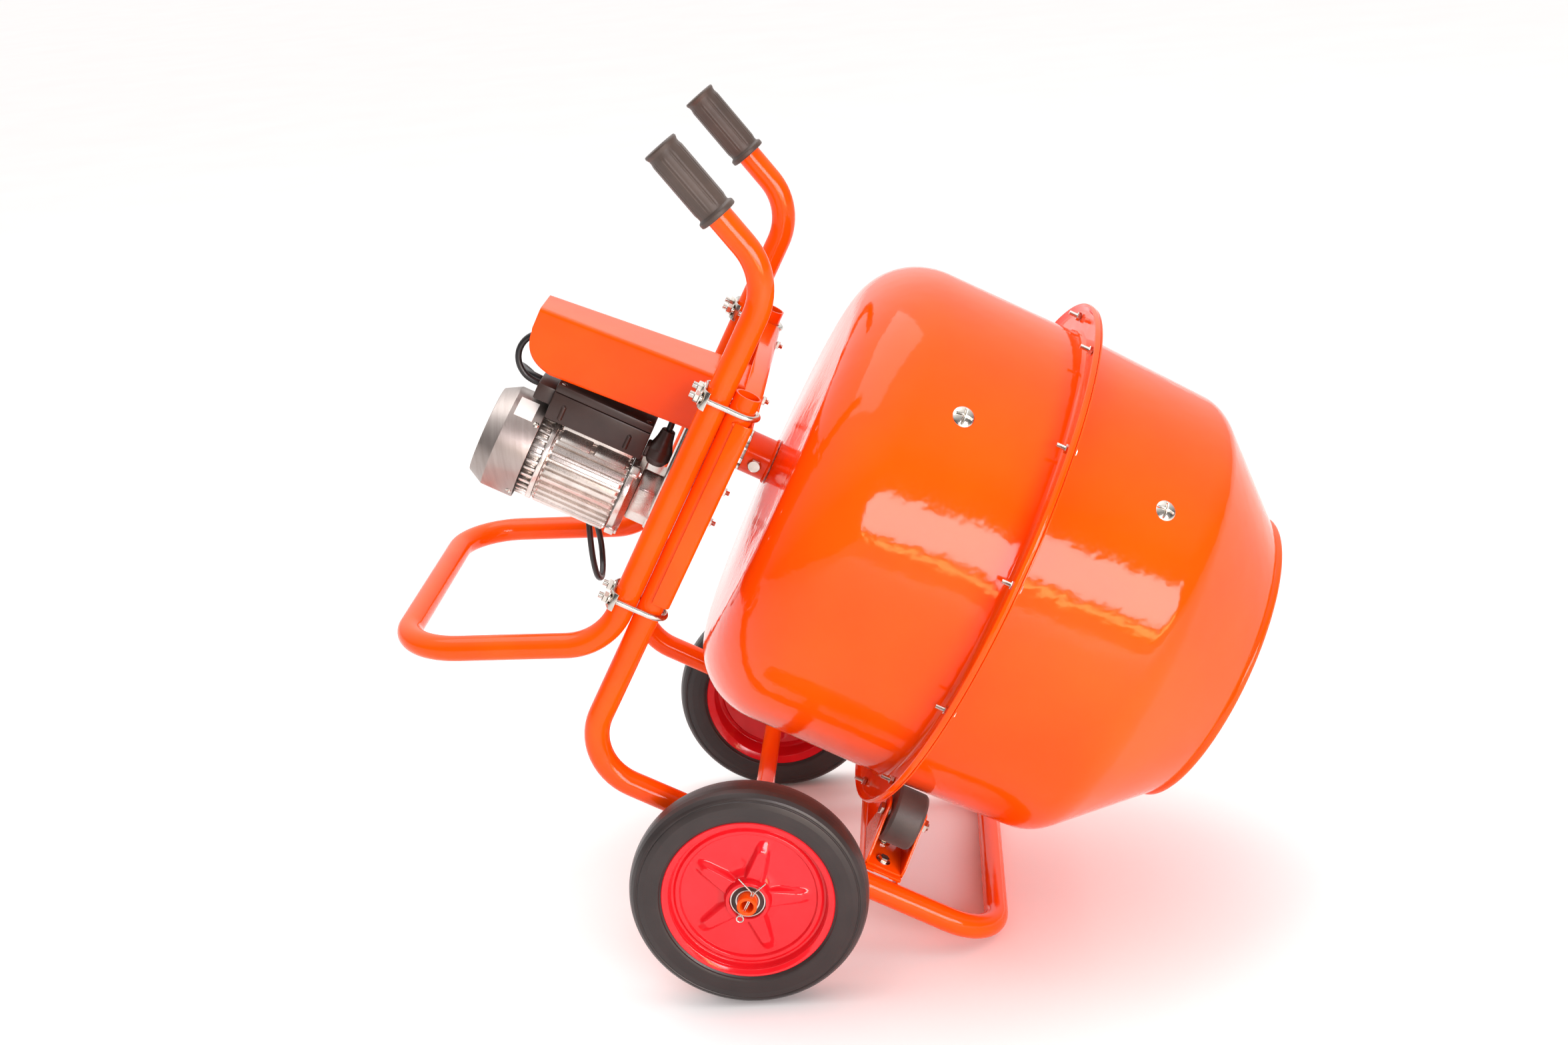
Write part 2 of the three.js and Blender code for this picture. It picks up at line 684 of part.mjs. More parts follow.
// A second cable leaves the switch at the back, hangs out of the hood's open end and enters the box.
function switchLead() {
  return cable([
    V3(SWITCH.x0 - GAP, -16, 470),
    V3(-478, -16, 470),
    V3(-486, -16, 470),
    V3(-497, -16, 470),
    V3(-507, -16, 470),
    V3(-519.6, -16, 467.5),
    V3(-530.3, -16, 460.3),
    V3(-537.5, -16, 449.6),
    V3(-540, -16, 437),
    V3(-537.5, -16, 424.4),
    V3(-530.3, -16, 413.7),
    V3(-519.6, -16, 406.5),
    V3(-508, -16, 404),
    V3(-504, -16, 404),
    V3(BLOCK_X - GAP, -16, 404),
  ], 16);
}

// The slack lead leaves the box's end block, turns round the fan cover, hangs in a loop on the motor's
// far side and comes back up into the box's far wall.
function slackLead() {
  return cable([
    V3(BLOCK_X - GAP, 10, 402),
    V3(-504, 10, 402),
    V3(-520.5, 14.6, 401.5),
    V3(-532, 27, 399.5),
    V3(-536, 44, 396),
    V3(-531.5, 61, 390.5),
    V3(-520, 75, 382),
    V3(-503, 87, 370),
    V3(-480, 99, 350),
    V3(-455, 111, 320),
    V3(-431, 121, 286),
    V3(-408, 129, 253),
    V3(-385, 135, 225),
    V3(-362, 138.5, 200),
    V3(-343, 138.5, 174),
    V3(-329, 127, 151.5),
    V3(-322.5, 101, 142),
    V3(-328.5, 75, 151.5),
    V3(-342, 63, 174),
    V3(-358, 62, 202),
    V3(-374, 67, 232),
    V3(-390, 75, 265),
    V3(-404, 83, 299),
    V3(-416, 90, 334),
    V3(-424, 92.5, 358),
    V3(-426.8, 87.5, 377),
    V3(-427, 75, 390),
    V3(-427, 61, 394.6),
    V3(-427, 52, 395),
    V3(-427, BOX_HALF + GAP, 395),
  ], 42);
}

function hood() {
  const rise = Math.tan(THREE.MathUtils.degToRad(4.3));
  const rearX = -534;
  const frontX = PLATE_X - 0.6;
  const top = (x) => 503 + (x - rearX) * rise;
  const bottom = (x) => 424 + (x - rearX) * rise;
  const side = new THREE.Shape();
  side.moveTo(rearX, top(rearX));
  side.lineTo(rearX + 1, 470);
  side.quadraticCurveTo(rearX + 3, 432, rearX + 44, bottom(rearX + 44));
  side.lineTo(frontX, bottom(frontX));
  side.lineTo(frontX, top(frontX));
  const solid = slabXZ(side, -80, 80, 5);
  const plan = (inset) => {
    const length = frontX - rearX;
    const half = (x) => HOOD_HALF_REAR + ((HOOD_HALF_FRONT - HOOD_HALF_REAR) * (x - rearX)) / length - inset;
    const [a, b] = [rearX - 20, frontX + 20];
    const shape = outline([[a, -half(a)], [b, -half(b)], [b, half(b)], [a, half(a)]]);
    return new THREE.ExtrudeGeometry(shape, { depth: 200, bevelEnabled: false }).translate(0, 0, 380);
  };
  const roof = slabXZ(outline([
    [rearX - 15, 390], [frontX + 15, 390], [frontX + 15, top(frontX + 15) - HOOD_SHEET],
    [rearX - 15, top(rearX - 15) - HOOD_SHEET],
  ]), -90, 90);
  const inside = common(plan(HOOD_SHEET), roof);
  const switchHole = block(SWITCH.x0 + 4, SWITCH.x1 - 4, 20, 80, SWITCH.z0 + 4, SWITCH.z1 - 8);
  return cut(common(solid, plan(0)), inside, switchHole);
}

const BUTTON_Z = (SWITCH.z0 + SWITCH.z1) / 2 - 1;
const BUTTON_X = { start_button: -450, stop_button: -421 };
const BUTTON_FACE_Y = 46;

// The switch stands on the hood's far wall, with its buttons outside.
function switchBody() {
  const body = block(SWITCH.x0, SWITCH.x1, SWITCH.y0, SWITCH.y1, SWITCH.z0, SWITCH.z1);
  const face = block(SWITCH.x0 + 5, SWITCH.x1 - 5, SWITCH.y1 - 1, BUTTON_FACE_Y + 4, SWITCH.z0 + 5, SWITCH.z1 - 9);
  const wells = Object.values(BUTTON_X).map((x) =>
    rod(10.6, BUTTON_FACE_Y - 8, BUTTON_FACE_Y + 20, 12, 'y').translate(x, 0, BUTTON_Z));
  return cut(join(body, face), ...wells);
}

const button = (x) => rod(10, BUTTON_FACE_Y - 3, BUTTON_FACE_Y + 9, 12, 'y').translate(x, 0, BUTTON_Z);

// ---- Drum rollers -------------------------------------------------------------------------------------
const rollerZ = () => {
  const reach = DRUM_RADIUS + ROLLER_RADIUS + GAP;
  return DRUM_Z - Math.sqrt(reach * reach - ROLLER_Y * ROLLER_Y);
};
const ROLLER_Z = rollerZ();
const BEAM_TOP = RAIL_Z + TUBE_RADIUS + GAP + 3.5;

function rollerBeam() {
  const [x0, x1] = [ROLLER_X - BEAM_HALF, ROLLER_X + BEAM_HALF];
  const sheet = 3.5;
  const top = block(x0, x1, -212, 212, BEAM_TOP - sheet, BEAM_TOP);
  const legs = [block(x0, x0 + sheet, -202, 202, BEAM_TOP - 20, BEAM_TOP),
    block(x1 - sheet, x1, -202, 202, BEAM_TOP - 20, BEAM_TOP)];
  return join(top, ...legs);
}

function rollerBracket(side) {
  const low = BEAM_TOP + GAP;
  const sheet = 3.5;
  const half = BEAM_HALF + 0.5;
  const y = side * ROLLER_Y;
  const base = block(ROLLER_X - half, ROLLER_X + half, y - 46, y + 46, low, low + sheet);
  const ear = new THREE.Shape();
  ear.moveTo(y - 46, low);
  ear.lineTo(y + 46, low);
  ear.lineTo(y + 46, low + 12);
  ear.lineTo(y + 17, ROLLER_Z + 6);
  ear.absarc(y, ROLLER_Z, 18, Math.atan2(6, 17), Math.PI - Math.atan2(6, 17), false);
  ear.lineTo(y - 46, low + 12);
  const ears = [-1, 1].map((s) => {
    const face = ROLLER_X + s * half;
    return slabYZ(ear, Math.min(face, face - s * sheet), Math.max(face, face - s * sheet), 5);
  });
  const hole = rod(5.6, ROLLER_X - 60, ROLLER_X + 60, 10, 'x').translate(0, y, ROLLER_Z);
  return cut(join(base, ...ears), hole);
}

function rollerPin(side) {
  const face = BEAM_HALF + 0.5;
  const at = (g) => g.translate(ROLLER_X, side * ROLLER_Y, ROLLER_Z);
  const shank = rod(5, -face - 4, face + 10, 10, 'x');
  const head = rod(9, -face - 6.6, -face - GAP, 6, 'x');
  const nut = rod(9, face + GAP, face + 8, 6, 'x');
  return at(join(shank, head, nut));
}

function roller(side) {
  const half = ROLLER_LENGTH / 2;
  return turned([
    [5.8, -half], [37, -half], [ROLLER_RADIUS, -half + 3], [ROLLER_RADIUS, half - 3], [37, half], [5.8, half],
  ], 20, 'x').translate(ROLLER_X, side * ROLLER_Y, ROLLER_Z);
}

// ---- Assembly -----------------------------------------------------------------------------------------
function addFrame() {
  add(machine, 'stand_frame', standFrame(), ORANGE);
  add(machine, 'handle_frame', handleFrame(), ORANGE);
  add(machine, 'mounting_plate', mountingPlate(), ORANGE);
  add(machine, 'axle', axle(), ORANGE);
  add(machine, 'roller_beam', rollerBeam(), ORANGE);
  for (const [name, side] of SIDES) {
    add(machine, `grip_${name}`, grip(side), RUBBER);
    add(machine, `axle_saddle_${name}`, axleSaddle(side), ORANGE);
    add(machine, `split_pin_${name}`, splitPin(side), ZINC);
    add(machine, `roller_bracket_${name}`, rollerBracket(side), ORANGE);
    add(machine, `roller_pin_${name}`, rollerPin(side), ZINC);
    for (const [level, z] of [['upper', CLAMP_Z[0]], ['lower', CLAMP_Z[1]]]) {
      add(machine, `u_bolt_${level}_${name}`, uBolt(side, z), ZINC);
      add(machine, `clamp_plate_${level}_${name}`, clampPlate(side, z), ZINC);
    }
  }
}

function addDrive() {
  add(machine, 'fan_cover', fanCover(), ALUMINIUM);
  add(machine, 'cooling_fan', fan(), PLASTIC);
  add(machine, 'rear_shield', rearShield(), ALUMINIUM);
  add(machine, 'stator_housing', statorHousing(), ALUMINIUM);
  add(machine, 'stator_core', statorCore(), COPPER);
  add(machine, 'rotor', rotor(), STEEL);
  add(machine, 'front_shield', frontShield(), ALUMINIUM);
  add(machine, 'gearbox_case', gearboxCase(), ALUMINIUM);
  add(machine, 'gearbox_cover', gearboxCover(), ALUMINIUM);
  add(machine, 'layshaft', layshaft(), STEEL);
  add(machine, 'bearing_flange', bearingFlange(), STEEL);
}

function addElectrics() {
  add(machine, 'terminal_box', terminalBox(), PLASTIC);
  add(machine, 'terminal_lid', terminalLid(), PLASTIC);
  add(machine, 'cable_gland', cableGland(), PLASTIC);
  add(machine, 'motor_lead', motorLead(), PLASTIC);
  add(machine, 'switch_lead', switchLead(), PLASTIC);
  add(machine, 'slack_lead', slackLead(), PLASTIC);
  add(machine, 'hood', hood(), ORANGE);
  add(machine, 'switch_body', switchBody(), PLASTIC);
  add(machine, 'start_button', button(BUTTON_X.start_button), GREEN);
  add(machine, 'stop_button', button(BUTTON_X.stop_button), STOP_RED);
}

function addDrum() {
  const paddleAngle = THREE.MathUtils.degToRad(46);
  add(machine, 'output_shaft', outputShaft(), STEEL);
  add(machine, 'hub_socket', hubSocket(), ORANGE);
  add(machine, 'hub_bolt', hubBolt(), ZINC);
  add(machine, 'drum_lower', drumLower(), ORANGE);
  add(machine, 'drum_upper', drumUpper(), ORANGE);
  add(machine, 'paddle_a', paddle(paddleAngle), STEEL);
  add(machine, 'paddle_b', paddle(paddleAngle + Math.PI), STEEL);
}

function addRunning() {
  for (const [name, side] of SIDES) {
    add(machine, `roller_${name}`, roller(side), RUBBER);
    add(rolling, `tyre_${name}`, tyre(), RUBBER, [0, side * WHEEL_Y, 0]);
    const turn = side < 0 ? Math.PI : 0;
    add(rolling, `rim_${name}`, rim().rotateX(turn), RED, [0, side * WHEEL_Y, 0]);
    add(rolling, `hub_bush_${name}`, hubBush().rotateX(turn), PLASTIC, [0, side * WHEEL_Y, 0]);
  }
}

addFrame();
addDrive();
addElectrics();
addDrum();
addRunning();

const mixer = new THREE.Group();
mixer.add(machine, rolling);

export default mixer;
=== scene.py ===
"""The looks of a hand-pushed electric concrete mixer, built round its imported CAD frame.

Shapes are drawn in millimetres in the rail frame, as the CAD model is: the origin is the wheel axle's
centre, X runs along the bottom rails towards the drum's mouth, Y points to the far side and Z is square
to the rails. RAIL takes them to world metres. The wheels are drawn round their own axle and stand level.
"""
import json
import math

import bmesh
import bpy
from mathutils import Matrix, Vector


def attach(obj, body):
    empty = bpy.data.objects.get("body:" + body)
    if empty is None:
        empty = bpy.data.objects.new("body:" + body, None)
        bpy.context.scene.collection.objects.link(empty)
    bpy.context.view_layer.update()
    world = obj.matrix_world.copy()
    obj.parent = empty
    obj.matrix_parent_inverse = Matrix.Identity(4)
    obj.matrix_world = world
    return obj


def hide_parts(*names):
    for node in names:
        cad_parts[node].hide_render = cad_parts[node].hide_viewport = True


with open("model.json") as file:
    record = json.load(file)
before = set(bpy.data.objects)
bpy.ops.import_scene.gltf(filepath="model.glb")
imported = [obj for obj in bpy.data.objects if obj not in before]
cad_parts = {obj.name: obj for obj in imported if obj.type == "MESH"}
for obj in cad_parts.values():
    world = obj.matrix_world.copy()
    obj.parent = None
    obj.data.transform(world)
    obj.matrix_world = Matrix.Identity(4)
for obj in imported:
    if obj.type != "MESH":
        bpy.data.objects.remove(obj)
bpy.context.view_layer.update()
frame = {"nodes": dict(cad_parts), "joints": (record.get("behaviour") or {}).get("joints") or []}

# ---- Frame ----
MM = 0.001
joints = {joint["name"]: joint for joint in frame["joints"]}
drum_axis = Vector(joints["drum_spin"]["axis"])
axle_centre = Vector(joints["wheel_near_spin"]["pos_m"])
axle_centre.y = 0.0
TIP = math.atan2(-drum_axis.z, drum_axis.x)
RAIL = Matrix.Translation(axle_centre) @ Matrix.Rotation(TIP, 4, "Y") @ Matrix.Scale(MM, 4)
LEVEL = Matrix.Translation(axle_centre) @ Matrix.Scale(MM, 4)

# ---- Sizes, in millimetres ----
TUBE_R, TUBE_BORE, TUBE_Y, RAIL_Z = 16.0, 13.8, 220.0, 33.0
FRONT_X, STAND_X, STAND_TOP, STAND_BEND = 332.0, -257.0, 564.0, 73.0
HANDLE_X, HANDLE_BEND, HANDLE_CORNER_Z = -289.3, 80.0, 704.0
HANDLE_RISE = math.radians(25.3)
GRIP_START, GRIP_LENGTH = 94.0, 104.0
FOOT_CORNER_Z, FOOT_X, FOOT_Z, FOOT_BEND = 195.0, -522.0, 74.5, 78.0
CLAMP_ROD = 4.0
CLAMP_LEVELS = {"upper": 543.0, "lower": 263.0}
PLATE_X, PLATE_SHEET = -240.4, 4.0
DRUM_Z, DRUM_R, DRUM_SHEET = 430.0, 317.0, 2.5
FLANGE_R, FLANGE_BOLTS, FLANGE_BOLT_R = 357.0, 12, 338.0
MOUTH_X, MOUTH_R, BEAD_R = 446.0, 195.0, 6.8
PADDLE_ANGLES = {"paddle_a": math.radians(46), "paddle_b": math.radians(226)}
ROLLER_X, ROLLER_Y, ROLLER_R = 158.0, 160.0, 38.5
ROLLER_Z = DRUM_Z - math.sqrt((DRUM_R + ROLLER_R + 0.3) ** 2 - ROLLER_Y ** 2)
BEAM_TOP = 52.8
MOTOR_Z = 312.0
LAY_Y, LAY_Z = 5.2, 376.3
WHEEL_Y, PIN_Y = 297.5, 329.5
CABLE_R = 4.25
SIDES = {"near": -1, "far": 1}
SHARP_ANGLE = math.radians(28)


# ---- Mesh helpers ----
class Form:
    """Vertices and faces of one or more closed surfaces."""

    def __init__(self, verts=(), faces=()):
        self.verts = [Vector(v) for v in verts]
        self.faces = [tuple(f) for f in faces]

    def __add__(self, other):
        shift = len(self.verts)
        faces = [tuple(i + shift for i in face) for face in other.faces]
        return Form(self.verts + other.verts, self.faces + faces)

    def placed(self, matrix):
        return Form([matrix @ v for v in self.verts], self.faces)

    def at(self, x, y, z):
        return self.placed(Matrix.Translation((x, y, z)))

    def turned(self, angle, axis):
        return self.placed(Matrix.Rotation(angle, 4, axis))


def gathered(forms):
    total = Form()
    for form in forms:
        total = total + form
    return total


def filleted(points, radius, steps=5, closed=False):
    """A 2-D outline with its corners rounded; radius is one number, or one for each corner."""
    count = len(points)
    radii = list(radius) if isinstance(radius, (list, tuple)) else [radius] * count
    out = []
    for i, (point, size) in enumerate(zip(points, radii)):
        corner = Vector(point)
        if size <= 0 or (not closed and i in (0, count - 1)):
            out.append(tuple(corner))
            continue
        back = Vector(points[i - 1]) - corner
        ahead = Vector(points[(i + 1) % count]) - corner
        reach = size / math.tan(max(back.angle(ahead) / 2, 1e-3))
        reach = min(reach, 0.48 * back.length, 0.48 * ahead.length)
        start = corner + back.normalized() * reach
        end = corner + ahead.normalized() * reach
        for k in range(steps + 1):
            t = k / steps
            out.append(tuple(start.lerp(corner, t).lerp(corner.lerp(end, t), t)))
    return out


def oriented(radius, station, angle, axis):
    """The point at a radius and an angle round an axis; angles start at +Z, or at +X round the Z axis."""
    across, up = radius * math.sin(angle), radius * math.cos(angle)
    if axis == "x":
        return (station, -across, up)
    if axis == "y":
        return (across, station, up)
    return (up, across, station)


def polar(profile, sides, axis="x", shift=None):
    """A turned surface of (radius, station) rows. shift(radius, station, angle) may move each point."""
    on_axis = [row[0] < 1e-6 for row in profile]
    ring_closed = not (on_axis[0] and on_axis[-1])
    verts, rows = [], []
    for (radius, station), pole in zip(profile, on_axis):
        if pole:
            rows.append([len(verts)] * sides)
            verts.append(oriented(0, station, 0, axis))
            continue
        rows.append(list(range(len(verts), len(verts) + sides)))
        for k in range(sides):
            angle = 2 * math.pi * k / sides
            r, s = shift(radius, station, angle) if shift else (radius, station)
            verts.append(oriented(r, s, angle, axis))
    faces = []
    pairs = list(zip(rows, rows[1:]))
    if ring_closed:
        pairs.append((rows[-1], rows[0]))
    for a, b in pairs:
        for k in range(sides):
            n = (k + 1) % sides
            face = [a[k], a[n], b[n], b[k]]
            face = [v for j, v in enumerate(face) if v != face[j - 1]]
            if len(face) > 2:
                faces.append(face)
    return Form(verts, faces)


def lathe(profile, sides=64, axis="x", fillet=0.0, steps=4):
    closed = profile[0][0] > 1e-6 or profile[-1][0] > 1e-6
    return polar(filleted(profile, fillet, steps, closed) if fillet else profile, sides, axis)


def rod(radius, start, end, axis="x"):
    chamfer = 0.6
    return lathe([(0, start), (radius - chamfer, start), (radius, start + chamfer),
                  (radius, end - chamfer), (radius - chamfer, end), (0, end)], 32, axis)


def washer(inner, outer, start, end, axis="x", sides=48):
    return lathe([(inner, start), (outer, start), (outer, end), (inner, end)], sides, axis, 0.35, 2)


def hexagon(radius, start, end, axis="x"):
    edge = 0.12 * radius
    return lathe([(0, start), (radius * 0.88, start), (radius, start + edge), (radius, end - edge),
                  (radius * 0.88, end), (0, end)], 6, axis)


def thread(radius, start, end, pitch=1.2, axis="x", sides=20):
    """A threaded stud's surface, as close rings with sharp crests."""
    turns = max(2, int((end - start) / pitch))
    rows = [(0, start)]
    for k in range(turns):
        s = start + (end - start) * k / turns
        rows += [(radius * 0.86, s), (radius, s + (end - start) / turns / 2)]
    return lathe(rows + [(radius * 0.86, end), (0, end)], sides, axis)


def rounded_path(corners, radius, steps=14):
    """Points along a polyline whose inner corners are true arcs."""
    corners = [Vector(c) for c in corners]
    radii = radius if isinstance(radius, (list, tuple)) else [radius] * (len(corners) - 2)
    out = [corners[0]]
    for i in range(1, len(corners) - 1):
        before = (corners[i] - corners[i - 1]).normalized()
        after = (corners[i + 1] - corners[i]).normalized()
        turn = before.angle(after)
        inward = (after - before * before.dot(after)).normalized()
        start = corners[i] - before * radii[i - 1] * math.tan(turn / 2)
        for k in range(steps + 1):
            a = turn * k / steps
            out.append(start + (before * math.sin(a) + inward * (1 - math.cos(a))) * radii[i - 1])
    return out + [corners[-1]]


def sweep(path, radius, sides=28, bore=0.0):
    """A round bar along a path, or an open-ended tube when it has a bore. radius may be a list."""
    path = [Vector(p) for p in path]
    count = len(path)
    radii = radius if isinstance(radius, (list, tuple)) else [radius] * count
    heading = [(path[min(i + 1, count - 1)] - path[max(i - 1, 0)]).normalized() for i in range(count)]
    side = heading[0].orthogonal().normalized()
    frames = []
    for i in range(count):
        side = (side - heading[i] * side.dot(heading[i])).normalized()
        frames.append((side, heading[i].cross(side)))

    def ring(i, r):
        u, v = frames[i]
        angles = [2 * math.pi * k / sides for k in range(sides)]
        return [path[i] + (u * math.cos(a) + v * math.sin(a)) * r for a in angles]

    rings = [ring(i, radii[i]) for i in range(count)]
    if bore:
        rings += [ring(i, bore) for i in reversed(range(count))]
    verts = [v for r in rings for v in r]
    faces = []
    total = len(rings)
    for i in range(total if bore else total - 1):
        a, b = i * sides, ((i + 1) % total) * sides
        faces += [(a + k, a + (k + 1) % sides, b + (k + 1) % sides, b + k) for k in range(sides)]
    if not bore:
        faces.append(tuple(reversed(range(sides))))
        faces.append(tuple(range((total - 1) * sides, total * sides)))
    return Form(verts, faces)


def smooth_path(points, steps=8):
    """A centripetal Catmull-Rom curve through the points, as the CAD model's cables follow."""
    points = [Vector(p) for p in points]
    padded = [points[0] * 2 - points[1]] + points + [points[-1] * 2 - points[-2]]
    out = []
    for i in range(len(points) - 1):
        p = padded[i:i + 4]
        gaps = [max((p[k + 1] - p[k]).length ** 0.5, 1e-4) for k in range(3)]
        slopes = [(p[k + 1] - p[k]) / gaps[k] for k in range(3)]
        m1, m2 = ((slopes[k] - (p[k + 2] - p[k]) / (gaps[k] + gaps[k + 1]) + slopes[k + 1]) * gaps[1]
                  for k in range(2))
        for k in range(steps):
            t = k / steps
            out.append((2 * t ** 3 - 3 * t ** 2 + 1) * p[1] + (t ** 3 - 2 * t ** 2 + t) * m1
                       + (3 * t ** 2 - 2 * t ** 3) * p[2] + (t ** 3 - t ** 2) * m2)
    return out + [points[-1]]


def edged(form, width):
    """The form with its sharp edges rounded."""
    if width <= 0:
        return form
    mesh = bpy.data.meshes.new("edging")
    mesh.from_pydata(form.verts, [], form.faces)
    work = bmesh.new()
    work.from_mesh(mesh)
    bmesh.ops.recalc_face_normals(work, faces=work.faces)
    sharp = [e for e in work.edges if len(e.link_faces) == 2 and e.calc_face_angle() > SHARP_ANGLE]
    bmesh.ops.bevel(work, geom=sharp, offset=width, segments=2, profile=0.5, affect="EDGES",
                    clamp_overlap=True)
    verts = [v.co.copy() for v in work.verts]
    work.verts.index_update()
    faces = [tuple(v.index for v in f.verts) for f in work.faces]
    work.free()
    bpy.data.meshes.remove(mesh)
    return Form(verts, faces)


def block(x0, x1, y0, y1, z0, z1, edge=0.8):
    verts = [(x, y, z) for x in (x0, x1) for y in (y0, y1) for z in (z0, z1)]
    faces = [(0, 1, 3, 2), (4, 6, 7, 5), (0, 4, 5, 1), (2, 3, 7, 6), (0, 2, 6, 4), (1, 5, 7, 3)]
    return edged(Form(verts, faces), edge)


def slab(outline, start, end, axis, edge=0.6):
    """A flat outline with thickness: (y, z) pairs along X, (x, z) along Y, or (x, y) along Z."""
    place = "xyz".index(axis)
    n = len(outline)
    verts = [(*flat[:place], s, *flat[place:]) for s in (start, end) for flat in outline]
    faces = [tuple(range(n)), tuple(reversed(range(n, 2 * n)))]
    faces += [(k, (k + 1) % n, (k + 1) % n + n, k + n) for k in range(n)]
    return edged(Form(verts, faces), edge)


def strip(line, thickness, start, end, axis, edge=0.5):
    """Bent sheet metal: a centre line with thickness, carried along an axis."""
    line = [Vector(p) for p in line]
    left, right = [], []
    for i, p in enumerate(line):
        way = (line[min(i + 1, len(line) - 1)] - line[max(i - 1, 0)]).normalized()
        normal = Vector((-way.y, way.x)) * thickness / 2
        left.append(p + normal)
        right.append(p - normal)
    return slab([tuple(p) for p in left + right[::-1]], start, end, axis, edge)


def hull(circles):
    """The tight outline round circles of (y, z, radius)."""
    angles = [2 * math.pi * k / 64 for k in range(64)]
    points = sorted((y + r * math.cos(a), z + r * math.sin(a)) for y, z, r in circles for a in angles)

    def chain(items):
        out = []
        for p in items:
            while len(out) > 1:
                (ax, ay), (bx, by) = out[-2], out[-1]
                if (bx - ax) * (p[1] - ay) - (by - ay) * (p[0] - ax) > 1e-9:
                    break
                out.pop()
            out.append(p)
        return out[:-1]

    return chain(points) + chain(points[::-1])


def aimed(form, place, direction):
    """A form drawn along +X, moved to a place and turned to point in a direction."""
    turn = Vector(direction).normalized().to_track_quat("X", "Z").to_matrix().to_4x4()
    return form.placed(Matrix.Translation(place) @ turn)


def bolt(radius, head, across=None, washer_radius=0.0):
    """A hex head standing on the plane x = 0, with an optional washer under it."""
    base = 1.2 if washer_radius else 0.0
    form = hexagon(across or radius * 1.9, base, base + head)
    if washer_radius:
        form += washer(radius, washer_radius, 0, base)
    return form


def nut_and_stud(radius, height, stud, washer_radius=0.0):
    """A nut standing on the plane x = 0 with a threaded stud that runs past it."""
    base = 1.4 if washer_radius else 0.0
    form = hexagon(radius * 1.85, base, base + height) + thread(radius, base, base + stud)
    if washer_radius:
        form += washer(radius, washer_radius, 0, base)
    return form


def screw(radius, height):
    """A domed cross-recess head standing on the plane x = 0."""
    slot, recess = radius * 0.075, 0.84

    def pressed(r, s, angle):
        across = min(abs(r * math.sin(angle)), abs(r * math.cos(angle)))
        along = max(abs(r * math.sin(angle)), abs(r * math.cos(angle)))
        inside = max(0.0, 1 - across / slot / 1.6) * max(0.0, min(1.0, (radius * recess - along) / slot))
        return r, s - inside * height * 0.45 if s > height * 0.2 else s

    rows = [(0, 0), (radius * 0.97, 0), (radius, height * 0.12)]
    for k in range(1, 21):
        r = radius * math.cos(k / 21 * math.pi / 2)
        rows.append((r, height * (0.12 + 0.88 * (1 - (r / radius) ** 2) ** 0.8)))
    rows.append((0, height * 0.6))
    return polar(rows, 120, "x", pressed)


# ---- Materials ----
def link(tree, a, b):
    tree.links.new(a, b)


def noise(tree, coords, scale, detail=3.0, stretch=(1, 1, 1)):
    node = tree.nodes.new("ShaderNodeTexNoise")
    node.inputs["Scale"].default_value = scale
    node.inputs["Detail"].default_value = detail
    mapping = tree.nodes.new("ShaderNodeMapping")
    mapping.inputs["Scale"].default_value = stretch
    link(tree, coords, mapping.inputs["Vector"])
    link(tree, mapping.outputs["Vector"], node.inputs["Vector"])
    return node.outputs["Fac"]


def ranged(tree, value, low, high, start=0.3, end=0.7):
    node = tree.nodes.new("ShaderNodeMapRange")
    for name, number in (("From Min", start), ("From Max", end), ("To Min", low), ("To Max", high)):
        node.inputs[name].default_value = number
    link(tree, value, node.inputs["Value"])
    return node.outputs["Result"]


def surface(name, light, dark, rough, metallic=0.0, patch=14, grain=900, bump=0.02, wave=0.0, gloss=0.5,
            stretch=(1, 1, 1), sheen=0.0):
    """A procedural finish: colour drifts between two tones in patches, with fine grain and slow waves."""
    material = bpy.data.materials.new(name)
    material.use_nodes = True
    tree = material.node_tree
    shader = tree.nodes["Principled BSDF"]
    coords = tree.nodes.new("ShaderNodeTexCoord").outputs["Object"]
    drift = noise(tree, coords, patch, 4, stretch)
    fine = noise(tree, coords, grain, 2, stretch)
    mix = tree.nodes.new("ShaderNodeMix")
    mix.data_type = "RGBA"
    mix.inputs[6].default_value = (*dark, 1)
    mix.inputs[7].default_value = (*light, 1)
    link(tree, ranged(tree, drift, 0, 1), mix.inputs["Factor"])
    link(tree, mix.outputs[2], shader.inputs["Base Color"])
    link(tree, ranged(tree, fine, rough[0], rough[1]), shader.inputs["Roughness"])
    shader.inputs["Metallic"].default_value = metallic
    shader.inputs["Specular IOR Level"].default_value = gloss
    if sheen:
        shader.inputs["Sheen Weight"].default_value = sheen
        shader.inputs["Sheen Roughness"].default_value = 0.5
    low = tree.nodes.new("ShaderNodeBump")
    low.inputs["Strength"].default_value = min(1.0, bump * 10)
    low.inputs["Distance"].default_value = 0.0001 * max(0.2, bump * 50)
    link(tree, fine, low.inputs["Height"])
    if wave:
        slow = tree.nodes.new("ShaderNodeBump")
        slow.inputs["Strength"].default_value = 1.0
        slow.inputs["Distance"].default_value = wave
        link(tree, noise(tree, coords, 38, 2), slow.inputs["Height"])
        link(tree, slow.outputs["Normal"], low.inputs["Normal"])
    link(tree, low.outputs["Normal"], shader.inputs["Normal"])
    return material


